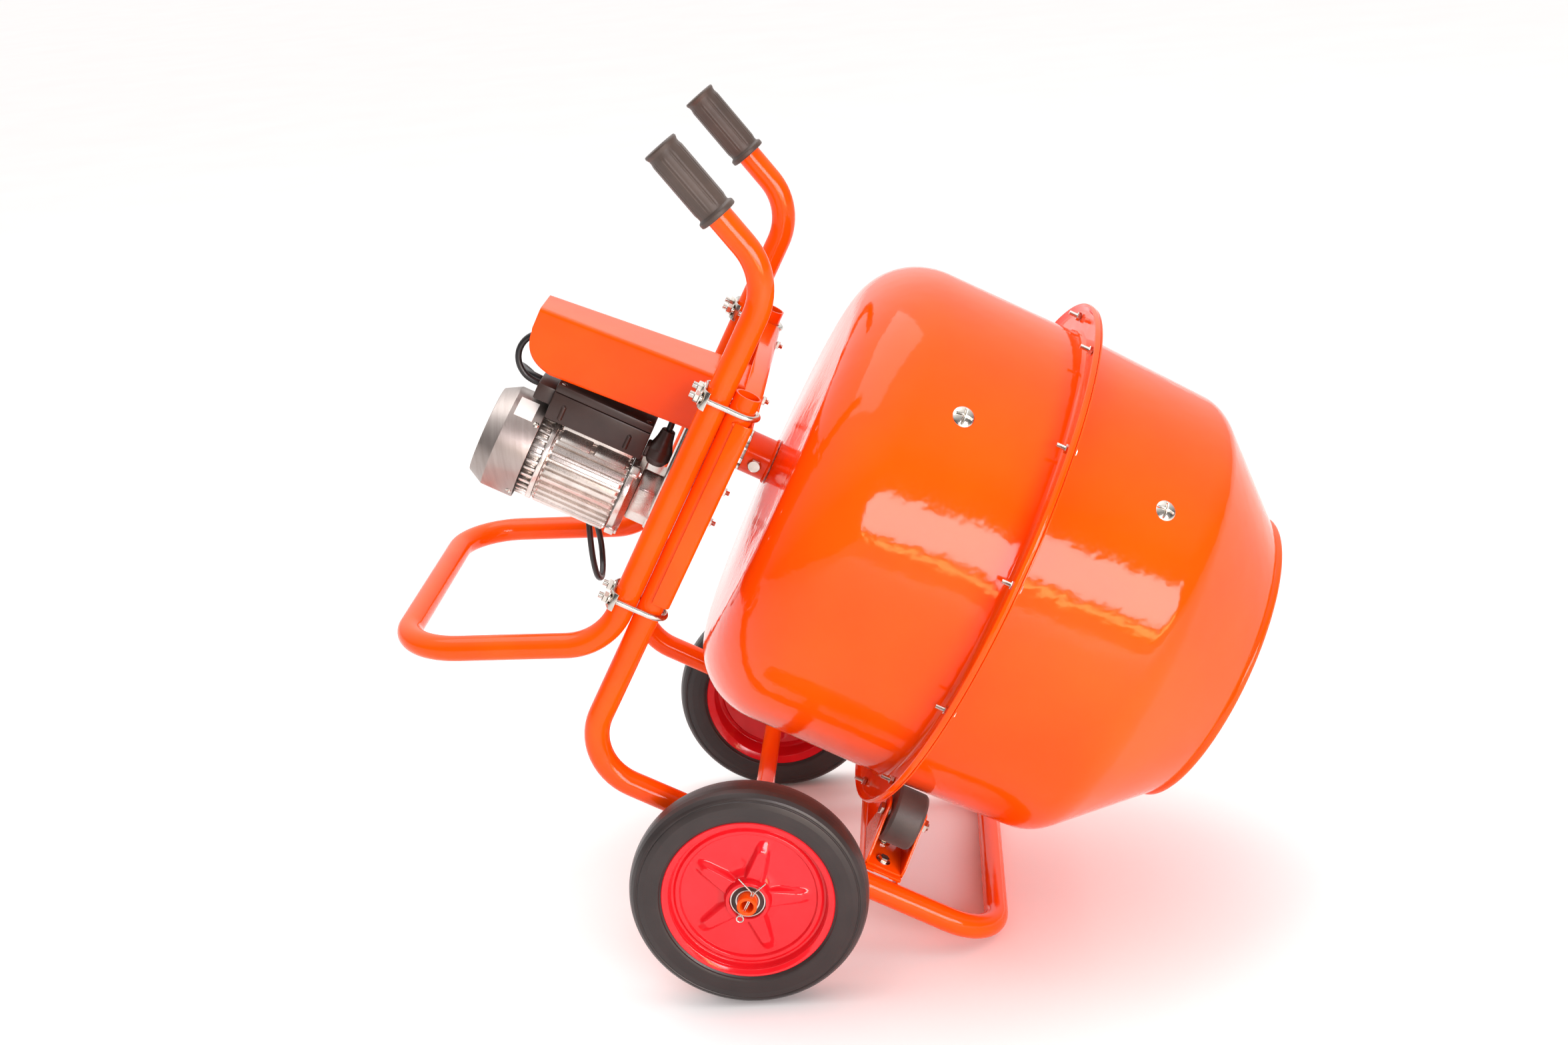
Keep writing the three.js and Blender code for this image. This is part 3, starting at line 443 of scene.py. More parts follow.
ORANGE = surface("orange_enamel", (0.93, 0.088, 0.002), (0.88, 0.066, 0.001), (0.09, 0.16),
    patch=9, grain=260, bump=0.004, wave=0.0003, gloss=0.23)
DRUM_ORANGE = surface("orange_drum_enamel", (0.94, 0.084, 0.002), (0.89, 0.064, 0.001), (0.06, 0.12),
    patch=5, grain=240, bump=0.004, wave=0.0005, gloss=0.23)
RED = surface("red_enamel", (0.72, 0.012, 0.02), (0.6, 0.007, 0.013), (0.08, 0.16),
    patch=16, grain=300, bump=0.006, wave=0.0003, gloss=0.45)
GRIP = surface("grip_rubber", (0.062, 0.04, 0.03), (0.042, 0.027, 0.02), (0.42, 0.6),
    patch=30, grain=1400, bump=0.05, sheen=0.1)
TYRE = surface("tyre_rubber", (0.02, 0.012, 0.011), (0.011, 0.0065, 0.006), (0.3, 0.5),
    patch=22, grain=1100, bump=0.03, sheen=0.06)
ROLLER = surface("roller_rubber", (0.06, 0.047, 0.042), (0.04, 0.031, 0.028), (0.42, 0.6),
    patch=25, grain=1200, bump=0.06, sheen=0.15)
ZINC = surface("zinc_plate", (0.68, 0.65, 0.6), (0.5, 0.47, 0.42), (0.14, 0.28), 1.0,
    patch=70, grain=1500, bump=0.01)
STEEL = surface("bare_steel", (0.72, 0.69, 0.65), (0.56, 0.53, 0.49), (0.22, 0.38), 1.0,
    patch=40, grain=1300, bump=0.015, stretch=(1, 1, 3))
CAST = surface("cast_aluminium", (0.74, 0.69, 0.65), (0.58, 0.53, 0.49), (0.2, 0.36), 0.95,
    patch=45, grain=1600, bump=0.03)
COVER = surface("brushed_cover", (0.4, 0.355, 0.335), (0.32, 0.28, 0.26), (0.32, 0.48), 0.92,
    patch=30, grain=500, bump=0.03, stretch=(6, 0.5, 0.5))
COPPER = surface("copper_winding", (0.55, 0.22, 0.1), (0.42, 0.16, 0.07), (0.3, 0.45), 0.9,
    patch=60, grain=1500, bump=0.08, stretch=(4, 1, 1))
PLASTIC = surface("black_plastic", (0.036, 0.019, 0.015), (0.024, 0.012, 0.009), (0.3, 0.46),
    patch=30, grain=1700, bump=0.03)
SHEATH = surface("cable_sheath", (0.014, 0.012, 0.013), (0.009, 0.008, 0.009), (0.3, 0.42),
    patch=30, grain=1500, bump=0.02)
GREEN = surface("green_plastic", (0.03, 0.32, 0.09), (0.022, 0.26, 0.07), (0.25, 0.4),
    patch=60, grain=1500, bump=0.02)
STOP = surface("red_plastic", (0.62, 0.02, 0.022), (0.52, 0.015, 0.017), (0.25, 0.4),
    patch=60, grain=1500, bump=0.02)
LABEL = surface("blank_foil", (0.82, 0.78, 0.75), (0.76, 0.72, 0.69), (0.4, 0.55), 0.0,
    patch=40, grain=900, bump=0.01)


# ---- Pieces ----
def piece(name, form, material, body="mixer_frame", nodes=(), smooth=32, matrix=RAIL):
    """One object: its mesh in world metres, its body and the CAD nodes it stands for."""
    mesh = bpy.data.meshes.new(name)
    mesh.from_pydata([matrix @ v for v in form.verts], [], form.faces)
    work = bmesh.new()
    work.from_mesh(mesh)
    bmesh.ops.recalc_face_normals(work, faces=work.faces)
    work.to_mesh(mesh)
    work.free()
    mesh.shade_smooth()
    mesh.set_sharp_from_angle(angle=math.radians(smooth))
    mesh.materials.append(material)
    obj = bpy.data.objects.new(name, mesh)
    bpy.context.scene.collection.objects.link(obj)
    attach(obj, body)
    if nodes:
        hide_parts(*nodes)
    return obj


def repaint(node, material):
    obj = frame["nodes"][node]
    obj.data.materials.clear()
    obj.data.materials.append(material)


# ---- Camera, light and floor ----
LENS_MM, SENSOR_MM = 45.28, 36
CAMERA_PLACE = (0.1502, -2.4516, 1.3888)
CAMERA_AZIMUTH, CAMERA_PITCH, CAMERA_ROLL = (math.radians(a) for a in (5.23, 90 - 19.24, -5.38))
SKY_BRIGHTEST = Vector((-0.1, 0.45, 0.89)).normalized()
SKY_DIM, SKY_BRIGHT = 0.1, 1.75
FLOOR_HALF = 90


def camera():
    data = bpy.data.cameras.new("camera")
    data.lens = LENS_MM
    data.sensor_width = SENSOR_MM
    data.clip_end = 500
    obj = bpy.data.objects.new("camera", data)
    turn = Matrix.Rotation(CAMERA_AZIMUTH, 4, "Z") @ Matrix.Rotation(CAMERA_PITCH, 4, "X")
    obj.matrix_world = Matrix.Translation(CAMERA_PLACE) @ turn @ Matrix.Rotation(CAMERA_ROLL, 4, "Z")
    bpy.context.scene.collection.objects.link(obj)
    bpy.context.scene.camera = obj


def softbox(name, place, aim, width, height, power, colour=(1, 1, 1)):
    data = bpy.data.lights.new(name, "AREA")
    data.shape = "RECTANGLE"
    data.size, data.size_y = width, height
    data.energy = power
    data.color = colour
    obj = bpy.data.objects.new(name, data)
    obj.location = place
    obj.rotation_euler = (Vector(place) - Vector(aim)).to_track_quat("Z", "Y").to_euler()
    bpy.context.scene.collection.objects.link(obj)


def studio():
    """A soft sky, brightest high up behind the machine and dim in front of it, and three softboxes.

    Where the camera sees the sky itself, above the floor's edge, it is plain and pale all round.
    """
    world = bpy.data.worlds.new("studio")
    world.use_nodes = True
    tree = world.node_tree
    direction = tree.nodes.new("ShaderNodeTexCoord").outputs["Generated"]
    slope = tree.nodes.new("ShaderNodeVectorMath")
    slope.operation = "DOT_PRODUCT"
    slope.inputs[1].default_value = SKY_BRIGHTEST
    link(tree, direction, slope.inputs[0])
    level = ranged(tree, slope.outputs["Value"], SKY_DIM, SKY_BRIGHT, 0.1, 0.95)
    seen = tree.nodes.new("ShaderNodeLightPath").outputs["Is Camera Ray"]
    shown = tree.nodes.new("ShaderNodeMath")
    shown.operation = "MAXIMUM"
    link(tree, seen, shown.inputs[0])
    link(tree, level, shown.inputs[1])
    link(tree, shown.outputs["Value"], tree.nodes["Background"].inputs["Strength"])
    tree.nodes["Background"].inputs["Color"].default_value = (1.0, 0.975, 0.97, 1)
    bpy.context.scene.world = world
    softbox("side_window", (2.2, -4.2, 1.58), (0.15, 0, 0.6), 3.6, 1.25, 215, (1, 0.93, 0.98))
    softbox("warm_strip", (2.2, -4.2, 0.66), (0.15, 0, 0.6), 3.6, 0.2, 40, (1, 0.7, 0.25))
    softbox("overhead", (-0.6, 0.5, 4.4), (0, 0, 0.4), 3.6, 2.6, 75)
    floor = bpy.data.meshes.new("floor")
    corners = [(x * FLOOR_HALF, y * FLOOR_HALF, 0) for x, y in ((-1, -1), (1, -1), (1, 1), (-1, 1))]
    floor.from_pydata(corners, [], [(0, 1, 2, 3)])
    floor.materials.append(surface("pale_floor", (0.93, 0.92, 0.915), (0.91, 0.9, 0.895), (0.7, 0.85),
                                   patch=2, grain=60, bump=0.002))
    obj = bpy.data.objects.new("floor", floor)
    bpy.context.scene.collection.objects.link(obj)
    bpy.context.scene.view_settings.view_transform = "Standard"


# ---- Leads ----
MOTOR_LEAD = [(-323, -36, 424.3), (-323, -36, 428), (-323.2, -35.5, 433), (-324.5, -34, 441),
              (-327.8, -31.5, 450), (-333, -28.5, 457.5), (-340, -25, 463.5), (-348, -21, 467.5),
              (-357, -17, 470), (-366, -13.5, 471.3), (-375, -11, 472), (-383, -9, 472), (-390, -8.2, 472),
              (-395, -8, 472), (-399.7, -8, 472)]
SWITCH_LEAD = [(-470.3, -16, 470), (-478, -16, 470), (-486, -16, 470), (-497, -16, 470), (-507, -16, 470),
               (-519.6, -16, 467.5), (-530.3, -16, 460.3), (-537.5, -16, 449.6), (-540, -16, 437),
               (-537.5, -16, 424.4), (-530.3, -16, 413.7), (-519.6, -16, 406.5), (-508, -16, 404),
               (-504, -16, 404), (-500.3, -16, 404)]
SLACK_LEAD = [(-500.3, 10, 402), (-504, 10, 402), (-520.5, 14.6, 401.5), (-532, 27, 399.5), (-536, 44, 396),
              (-531.5, 61, 390.5), (-520, 75, 382), (-503, 87, 370), (-480, 99, 350), (-455, 111, 320),
              (-431, 121, 286), (-408, 129, 253), (-385, 135, 225), (-362, 138.5, 200), (-343, 138.5, 174),
              (-329, 127, 151.5), (-322.5, 101, 142), (-328.5, 75, 151.5), (-342, 63, 174), (-358, 62, 202),
              (-374, 67, 232), (-390, 75, 265), (-404, 83, 299), (-416, 90, 334), (-424, 92.5, 358),
              (-426.8, 87.5, 377), (-427, 75, 390), (-427, 61, 394.6), (-427, 52, 395), (-427, 47.3, 395)]


def leads():
    for node, route in (("motor_lead", MOTOR_LEAD), ("switch_lead", SWITCH_LEAD), ("slack_lead", SLACK_LEAD)):
        path = smooth_path(route)
        obj = piece(node + "_sheath", sweep(path, CABLE_R, 20), SHEATH, nodes=[node])


# ---- Tubular frame ----
def grip_point(side, distance):
    return Vector((HANDLE_X - distance * math.cos(HANDLE_RISE), side * TUBE_Y,
                   HANDLE_CORNER_Z + distance * math.sin(HANDLE_RISE)))


def tubes():
    y = TUBE_Y
    stand = [(STAND_X, -y, STAND_TOP), (STAND_X, -y, RAIL_Z), (FRONT_X, -y, RAIL_Z),
             (FRONT_X, y, RAIL_Z), (STAND_X, y, RAIL_Z), (STAND_X, y, STAND_TOP)]
    piece("stand_tube", sweep(rounded_path(stand, STAND_BEND), TUBE_R, 40, TUBE_BORE), ORANGE,
          nodes=["stand_frame"])
    end = GRIP_START + GRIP_LENGTH - 6
    handle = [grip_point(-1, end), (HANDLE_X, -y, HANDLE_CORNER_Z), (HANDLE_X, -y, FOOT_CORNER_Z),
              (FOOT_X, -y, FOOT_Z), (FOOT_X, y, FOOT_Z), (HANDLE_X, y, FOOT_CORNER_Z),
              (HANDLE_X, y, HANDLE_CORNER_Z), grip_point(1, end)]
    bends = [HANDLE_BEND, HANDLE_BEND, FOOT_BEND, FOOT_BEND, HANDLE_BEND, HANDLE_BEND]
    piece("handle_tube", sweep(rounded_path(handle, bends), TUBE_R, 40, TUBE_BORE), ORANGE,
          nodes=["handle_frame"])


def grip(side_name, side):
    """A moulded grip: a rounded flange, paired lengthwise ridges on a raised panel, and a lipped end."""
    bore = 16.3
    pairs = 9

    def ridged(r, s, angle):
        if r < 20 or not 12 < s < 94:
            return r, s
        fade = min(1.0, (s - 12) / 5, (94 - s) / 5)
        phase = (angle * pairs / (2 * math.pi)) % 1.0
        ridge = max(math.exp(-((phase - c) / 0.07) ** 2) for c in (0.36, 0.64))
        return r + fade * (0.25 + 0.75 * ridge), s

    outer = filleted([(bore, 0), (24.4, 0), (24.4, 6.5), (20.6, 9), (20.6, 97), (22.3, 101.5), (21.4, 104),
                      (14, 103.2), (12, 101.5), (0, 101.5)], [0.5, 2.6, 2.6, 1.5, 2, 1.2, 1.2, 1.5, 1, 0], 4)
    rows = []
    for (r0, s0), (r1, s1) in zip(outer, outer[1:]):
        cuts = max(1, int(abs(s1 - s0) / 2.5))
        rows += [(r0 + (r1 - r0) * k / cuts, s0 + (s1 - s0) * k / cuts) for k in range(cuts)]
    rows.append(outer[-1])
    rows += [(0, 98), (bore, 98)]
    turn = Matrix.Rotation(-math.pi / 2 + HANDLE_RISE, 4, "Y")
    place = Matrix.Translation(grip_point(side, GRIP_START)) @ turn
    piece(f"grip_{side_name}_moulded", polar(rows, 180, "z", ridged).placed(place), GRIP,
          nodes=[f"grip_{side_name}"], smooth=50)


def clamp(level, z, side_name, side):
    reach = TUBE_R + CLAMP_ROD + 0.3
    end = HANDLE_X - TUBE_R - 17
    y = side * TUBE_Y
    corners = [(end, y - reach, z), (STAND_X + reach, y - reach, z), (STAND_X + reach, y + reach, z),
               (end, y + reach, z)]
    rod_form = sweep(rounded_path(corners, reach - 0.05, 16), CLAMP_ROD - 0.15, 20)
    for s in (-1, 1):
        rod_form += thread(CLAMP_ROD, end, end + 26, 1.25).at(0, y + s * reach, z)
    piece(f"u_bolt_{level}_{side_name}_bent", rod_form, ZINC,
          nodes=[f"u_bolt_{level}_{side_name}"], smooth=40)
    back = HANDLE_X - TUBE_R - 0.5
    saddle = [(back + 7, -26), (back + 1.5, -24.5), (back - 2, -17), (back - 1.2, -8), (back - 1.6, 0),
              (back - 1.2, 8), (back - 2, 17), (back + 1.5, 24.5), (back + 7, 26)]
    line = filleted([(x, y + v) for x, v in saddle], 4, 4)
    form = strip(line, 2.6, z - 12, z + 12, "z", 0.7)
    for s in (-1, 1):
        lock = hexagon(7.4, 0, 6.4) + washer(4.2, 8.6, -1.6, 0)
        form += aimed(lock, (back - 4.2, y + s * reach, z), (-1, 0, 0))
    piece(f"clamp_saddle_{level}_{side_name}", form, ZINC,
          nodes=[f"clamp_plate_{level}_{side_name}"], smooth=40)


def mounting_plate():
    outer = TUBE_Y + TUBE_R + 0.6 + PLATE_SHEET
    mid = PLATE_X + PLATE_SHEET / 2
    edge_y = outer - PLATE_SHEET / 2
    channel = filleted([(STAND_X - 2, -edge_y), (mid, -edge_y), (mid, edge_y), (STAND_X - 2, edge_y)],
                       [0, 6, 6, 0], 6)
    form = strip(channel, PLATE_SHEET, 279, 533, "z", 1.2)
    lip = filleted([(-261, 548), (mid, 548), (mid, 515)], [0, 6, 0], 6)
    form += strip(lip, PLATE_SHEET, -194, 194, "y", 1.0)
    for s in (-1, 1):
        weld = [(STAND_X + 8, s * (TUBE_Y + 14.5), 520), (STAND_X + 2, s * (TUBE_Y + 16.5), 526),
                (STAND_X - 4, s * (TUBE_Y + 16.5), 531)]
        form += sweep(rounded_path(weld, 3, 4), 2.6, 10)
    piece("mounting_plate_folded", form, ORANGE, nodes=["mounting_plate"])
    heads = Form()
    for y, z in ((-135, 541), (-198, 434), (-198, 391), (135, 541), (198, 434), (198, 391)):
        heads += aimed(nut_and_stud(3, 4.6, 9), (PLATE_X + PLATE_SHEET, y, z), (1, 0, 0))
    piece("mounting_plate_bolts", heads, ZINC)


def axle_and_pins():
    axle_form = lathe([(8.3, -335), (12.5, -335), (12.5, 335), (8.3, 335)], 48, "y", 0.8, 3)
    piece("axle_tube", axle_form, ORANGE, nodes=["axle"])
    for name, side in SIDES.items():
        y = side * PIN_Y
        wire = 1.0
        ring = [(4.3 * math.sin(a), y, -22.0 - 4.3 * math.cos(a))
                for a in [math.radians(20 + 320 * k / 24 + 180) for k in range(25)]]
        shank = [sweep([(s, y, -18.5), (s, y, 12), (s * 1.4, y, 17)], wire, 12) for s in (-1.05, 1.05)]
        legs = sweep(rounded_path([(-1.05, y, 14), (-1.5, y, 18), (-25, y + side * 2, 30)], 4, 6), wire, 12)
        legs += sweep(rounded_path([(1.05, y, 14), (1.5, y, 20), (8, y + side * 2, 38)], 4, 6), wire, 12)
        piece(f"split_pin_{name}_wire", sweep(ring, wire, 12) + gathered(shank) + legs, ZINC,
              nodes=[f"split_pin_{name}"], smooth=50)
        saddle = strip(filleted([(-20, 4), (-20, 21), (20, 21), (20, 4)], [0, 6, 6, 0], 5), 3.4,
                       side * TUBE_Y - 16, side * TUBE_Y + 16, "y", 0.8)
        seam = sweep([(x, side * TUBE_Y, 17 + 0.2 * math.sin(x)) for x in range(-22, 23, 2)], 2.4, 10)
        piece(f"axle_saddle_{name}_pressed", saddle + seam, ORANGE, nodes=[f"axle_saddle_{name}"])


# ---- Wheels ----
def tyre_form():
    half = [(99.8, 16), (105, 19.5), (109.4, 22.4), (110.6, 23.2), (111.4, 24.9), (114, 25.7), (121, 26),
            (130, 25.7), (136.8, 24), (137.6, 22.6), (138.8, 22.5), (139.6, 23.1), (142.5, 21.8),
            (146.4, 17.6), (148.9, 11.5), (149.9, 4.5), (150, 0.8)]
    return lathe([(r, -h) for r, h in half] + half[::-1], 160, "y", 0.7, 3)


def rim_form():
    """The pressed wheel disc with five raised ribs, its barrel and two rolled lips; outward is +Y."""
    ribs = 5

    def pressed(r, s, angle):
        if not (24 < r < 86 and 3 < s < 16):
            return r, s
        turn = (angle * ribs / (2 * math.pi)) % 1.0
        off = min(turn, 1 - turn) * 2 * math.pi / ribs * r
        width = 12.0 - 6.5 * (r - 28) / 48
        across = min(1.0, max(0.0, (width + 4.5 - off) / 7.0))
        along = min(1.0, max(0.0, (80 - r) / 14)) * min(1.0, max(0.0, (r - 24) / 6))
        height = 10.5 * (1 - 0.45 * (r - 30) / 50)
        cone = 5.0 * min(1.0, max(0.0, (44 - r) / 14)) ** 2
        return r, s + max(cone, height * across * across * (3 - 2 * across) * along)

    disc = [(84 - k * 1.72, 8.5) for k in range(32)]
    hub = filleted([(30, 8.5), (28.2, 18), (27, 27), (22.8, 27), (22.8, -25), (27, -25), (27, 5.8)],
                   [1.5, 2, 1.2, 0.8, 0.8, 1.2, 1], 3)
    back_disc = [(29 + k * 1.75, 5.8) for k in range(33)]
    rows = ([(108.4, 21.6), (107.2, 22.8), (105, 22.4)] + filleted(
        [(104, 22), (99.5, 20.2), (97, 9.6), (94, 9.4), (91, 12.6), (86.6, 12.4), (84.6, 8.5), (84.2, 8.5)],
        [0, 2.2, 1.6, 1.2, 1.5, 1.5, 1.0, 0], 4)
        + disc + hub + back_disc + filleted(
            [(86, 5.8), (88.5, 9.2), (95.2, 9.3), (97, -19), (107, -22.8)], [0, 1.2, 2, 2.5, 0], 4)
        + [(108.4, -21.6), (98.6, -17.2), (98.6, 17.2)])
    return polar(rows, 200, "y", pressed)


def wheel(name, side):
    body = f"wheel_{name}"
    flip = Matrix.Identity(4) if side > 0 else Matrix.Rotation(math.pi, 4, "Z")
    spin = Matrix.Rotation(math.radians(21 if side < 0 else 40), 4, "Y")
    put = LEVEL @ Matrix.Translation((0, side * WHEEL_Y, 0)) @ spin @ flip
    piece(f"tyre_{name}_moulded", tyre_form(), TYRE, body, [f"tyre_{name}"], 40, put)
    piece(f"rim_{name}_pressed", rim_form(), RED, body, [f"rim_{name}"], 40, put)
    race = washer(20.4, 22.2, 12, 23.4, "y", 72) + washer(13.2, 15.2, 12, 23.4, "y", 72)
    race += washer(13.4, 22.0, -24.4, 12.5, "y", 72)
    piece(f"bearing_{name}_races", race, STEEL, body, [f"hub_bush_{name}"], matrix=put)
    seal = lathe([(15.0, 12.2), (20.6, 12.2), (20.6, 22.3), (19, 22.9), (17, 22.3), (15.0, 22.6)],
                 72, "y", 0.4, 3)
    piece(f"bearing_{name}_seal", seal, PLASTIC, body, matrix=put)


# ---- Drum ----
def eased(t):
    return t * t * (3 - 2 * t)


def drum_lower_rows(inset):
    """The dished base, the deep rounded corner and the side, outside (inset 0) or inside."""
    radius, base = DRUM_R - inset, -172 + inset
    rows = [((radius - 90) * k / 8, base - 12 * (1 - eased(k / 8))) for k in range(8)]
    for k in range(25):
        angle = math.pi / 2 * k / 24
        rows.append((radius - 90 + 90 * math.sin(angle), base + 96 - 96 * math.cos(angle)))
    return rows


def drum_shells():
    flange = [(DRUM_R, 60), (DRUM_R, 108), (348, 108.2), (352.5, 104.5), (354.4, 102.2), (356.2, 103),
              (FLANGE_R, 106.4), (356.4, 109.6), (354.6, 110.5), (DRUM_R - DRUM_SHEET, 110.5)]
    lower = drum_lower_rows(0) + filleted(flange, [0, 7, 4, 1.2, 1, 1, 2, 1, 0.8, 0.5], 5)
    dome = polar(lower + drum_lower_rows(DRUM_SHEET)[::-1], 200, "x").at(0, 0, DRUM_Z)
    seam = sweep([(x, 0, DRUM_R - 0.2) for x in range(20, 106, 4)], 1.3, 10).turned(math.radians(238), "X")
    piece("drum_lower_shell", dome + seam.at(0, 0, DRUM_Z), DRUM_ORANGE, "drum", ["drum_lower"], 40)
    wall = [(DRUM_R - DRUM_SHEET, 110.9), (355.4, 110.9), (355.4, 113.2), (DRUM_R + 1, 113.2), (310.5, 314.2),
            (201, 440.4)]
    outside = filleted(wall, [0, 0.9, 0.9, 7, 62, 0], 9)
    bead = []
    for k in range(25):
        angle = math.radians(-49 + 14 + k * (360 - 28) / 24)
        bead.append((MOUTH_R + BEAD_R * math.cos(angle), MOUTH_X + BEAD_R * math.sin(angle)))
    inside = filleted([(199, 438.8), (308, 313), (DRUM_R - DRUM_SHEET, 116)], [0, 60, 0], 9)
    cone = polar(outside[:-1] + bead + inside, 200, "x").at(0, 0, DRUM_Z)
    seam = sweep([(x, 0, DRUM_R - (x - 113) * 0.0372 - 0.4) for x in range(122, 286, 6)], 1.2, 10)
    seam = seam.turned(math.radians(255), "X")
    piece("drum_upper_shell", cone + seam.at(0, 0, DRUM_Z), DRUM_ORANGE, "drum", ["drum_upper"], 40)


def drum_fasteners():
    form = Form()
    for k in range(FLANGE_BOLTS):
        stud = aimed(nut_and_stud(3.1, 5.2, 16), (107.6, 0, FLANGE_BOLT_R), (-1, 0, 0))
        head = aimed(bolt(3, 4.0, 5.8), (113.2, 0, FLANGE_BOLT_R), (1, 0, 0))
        form += (stud + head).turned(2 * math.pi * (k + 0.5) / FLANGE_BOLTS, "X")
    piece("drum_flange_bolts", form.at(0, 0, DRUM_Z), ZINC, "drum", smooth=30)
    form = Form()
    for angle in PADDLE_ANGLES.values():
        for x in (-19, 247):
            lift = DRUM_R - (0.4 if x < 0 else 5.4)
            form += aimed(screw(13.5, 4.6), (x, 0, lift), (0, 0, 1)).turned(angle, "X")
    piece("paddle_screws", form.at(0, 0, DRUM_Z), ZINC, "drum", smooth=40)


def paddles():
    for node, angle in PADDLE_ANGLES.items():
        line = filleted([(-50, 307), (-14, 307), (14, 227.5), (209, 227.5), (237, 302), (269, 302)],
                        [0, 9, 14, 14, 9, 0], 6)
        form = strip(line, 5, -22, 22, "y", 1.0)
        for x, z in ((-19, 303), (247, 298)):
            form += aimed(nut_and_stud(5, 7, 12, 10), (x, 0, z), (0, 0, -1))
        piece(f"{node}_bent", form.turned(angle, "X").at(0, 0, DRUM_Z), STEEL, "drum", [node])


def hub():
    socket = lathe([(13.1, -221), (28, -221), (28, -187), (28.6, -184.8), (13.1, -184.8)], 64, "x", 1.0, 4)
    ripple = polar([(27.6, -188.2), (29, -187.6), (30.4, -186), (30.6, -184.4), (27.6, -184.4)], 120, "x",
                   lambda r, s, a: (r + 0.35 * math.sin(a * 22) * (r > 28.5), s))
    piece("hub_socket_welded", (socket + ripple).at(0, 0, DRUM_Z), ORANGE, "drum", ["hub_socket"])
    cross = math.radians(98.9)
    form = rod(5, -34, 34, "z") + hexagon(9.4, 28.5, 34.2, "z") + hexagon(9.4, -35.8, -28.5, "z")
    form += rod(8.2, 33.9, 34.8, "z") + thread(5, -39, -35, 1.25, "z")
    piece("hub_cross_bolt", form.turned(cross, "X").at(-204, 0, DRUM_Z), ZINC, "drum", ["hub_bolt"])
    face = PLATE_X + PLATE_SHEET + 0.3
    flange = lathe([(13.2, face), (60, face), (60, face + 3.2), (13.2, face + 3.2)], 96, "x", 0.6, 3)
    for start in (-232.8, -228.8):
        flange += washer(13.2, 30 + (start + 233) * 0.4, start, start + 3.4, "x", 96)
    for k in range(2):
        flange += aimed(nut_and_stud(2.6, 3.6, 5.5, 5.4), (-225.2, 0, 25), (1, 0, 0)).turned(k * math.pi, "X")
    for k in range(4):
        flange += aimed(bolt(3, 3.4), (face + 3.2, 0, 50), (1, 0, 0)).turned((k + 0.5) * math.pi / 2, "X")
    piece("bearing_flange_turned", flange.at(0, 0, DRUM_Z), ZINC, nodes=["bearing_flange"])


# ---- Gearbox and motor ----
def gearbox():
    outline = hull([(0, DRUM_Z, 50), (LAY_Y, LAY_Z, 62), (0, MOTOR_Z, 37)])
    case = slab(outline, -304, -250, "x", 4)
    rim_outline = hull([(0, DRUM_Z, 51), (LAY_Y, LAY_Z, 63), (0, MOTOR_Z, 38)])
    case += slab(rim_outline, -250.5, -246.2, "x", 1)
    neck = [(-36, 300), (-20, 283), (20, 283), (36, 300), (36, 335), (20, 357), (-20, 357), (-36, 335)]
    case += slab(neck, -330.6, -300, "x", 2.5)
    piece("gearbox_case_cast", case, CAST, nodes=["gearbox_case"])
    cover = slab(rim_outline, -245.8, -240.8, "x", 1)
    piece("gearbox_cover_cast", cover, CAST, nodes=["gearbox_cover"])
    heads = Form()
    for y, z in ((-42, 452), (42, 452), (-54, 376), (64, 376), (-28, 290), (28, 290), (0, 476)):
        heads += aimed(bolt(2.6, 3.4, 4.8), (-251.2, y, z), (-1, 0, 0))
    piece("gearbox_screws", heads, ZINC)


def fan_cover():
    shell = lathe([(28, -540), (58, -540), (69.5, -519), (69.5, -476), (67.5, -476), (67.5, -518), (57, -538),
                   (28, -538)], 128, "x", 2.2, 5)
    grille = Form()
    for r in (7, 14, 21):
        ring = [(r - 1.3, -539.6), (r + 1.3, -539.6), (r + 1.3, -538), (r - 1.3, -538)]
        grille += lathe(ring, 64, "x", 0.5, 3)
    for k in range(3):
        grille += block(-539.4, -538.2, -1.4, 1.4, -28.5, 28.5, 0.4).turned(k * math.pi / 3, "X")
    piece("fan_cover_drawn", (shell + grille).at(0, 0, MOTOR_Z), COVER, nodes=["fan_cover"],
          smooth=40)
    screws = Form()
    for k in range(4):
        head = aimed(screw(4.2, 2.2), (-481, 0, 69.3), (0, 0, 1))
        screws += head.turned(math.radians(45 + 90 * k), "X")
    piece("fan_cover_screws", screws.at(0, 0, MOTOR_Z), ZINC, smooth=40)
    rows, columns = 12, 2
    verts = []
    for layer in (69.4, 69.85):
        for i in range(columns + 1):
            for k in range(rows + 1):
                verts.append(oriented(layer, -513 + 25 * i / columns, math.radians(17 + 27 * k / rows), "x"))
    size = (columns + 1) * (rows + 1)
    faces = []
    for i in range(columns):
        for k in range(rows):
            a = i * (rows + 1) + k
            quad = (a, a + 1, a + rows + 2, a + rows + 1)
            faces.append(quad)
            faces.append(tuple(v + size for v in reversed(quad)))
    edge = list(range(rows + 1)) + [i * (rows + 1) + rows for i in range(1, columns + 1)]
    edge += [columns * (rows + 1) + k for k in reversed(range(rows))]
    edge += [i * (rows + 1) for i in reversed(range(1, columns))]
    faces += [(a, b, b + size, a + size) for a, b in zip(edge, edge[1:] + edge[:1])]
    piece("blank_plate", Form(verts, faces).at(0, 0, MOTOR_Z), LABEL)


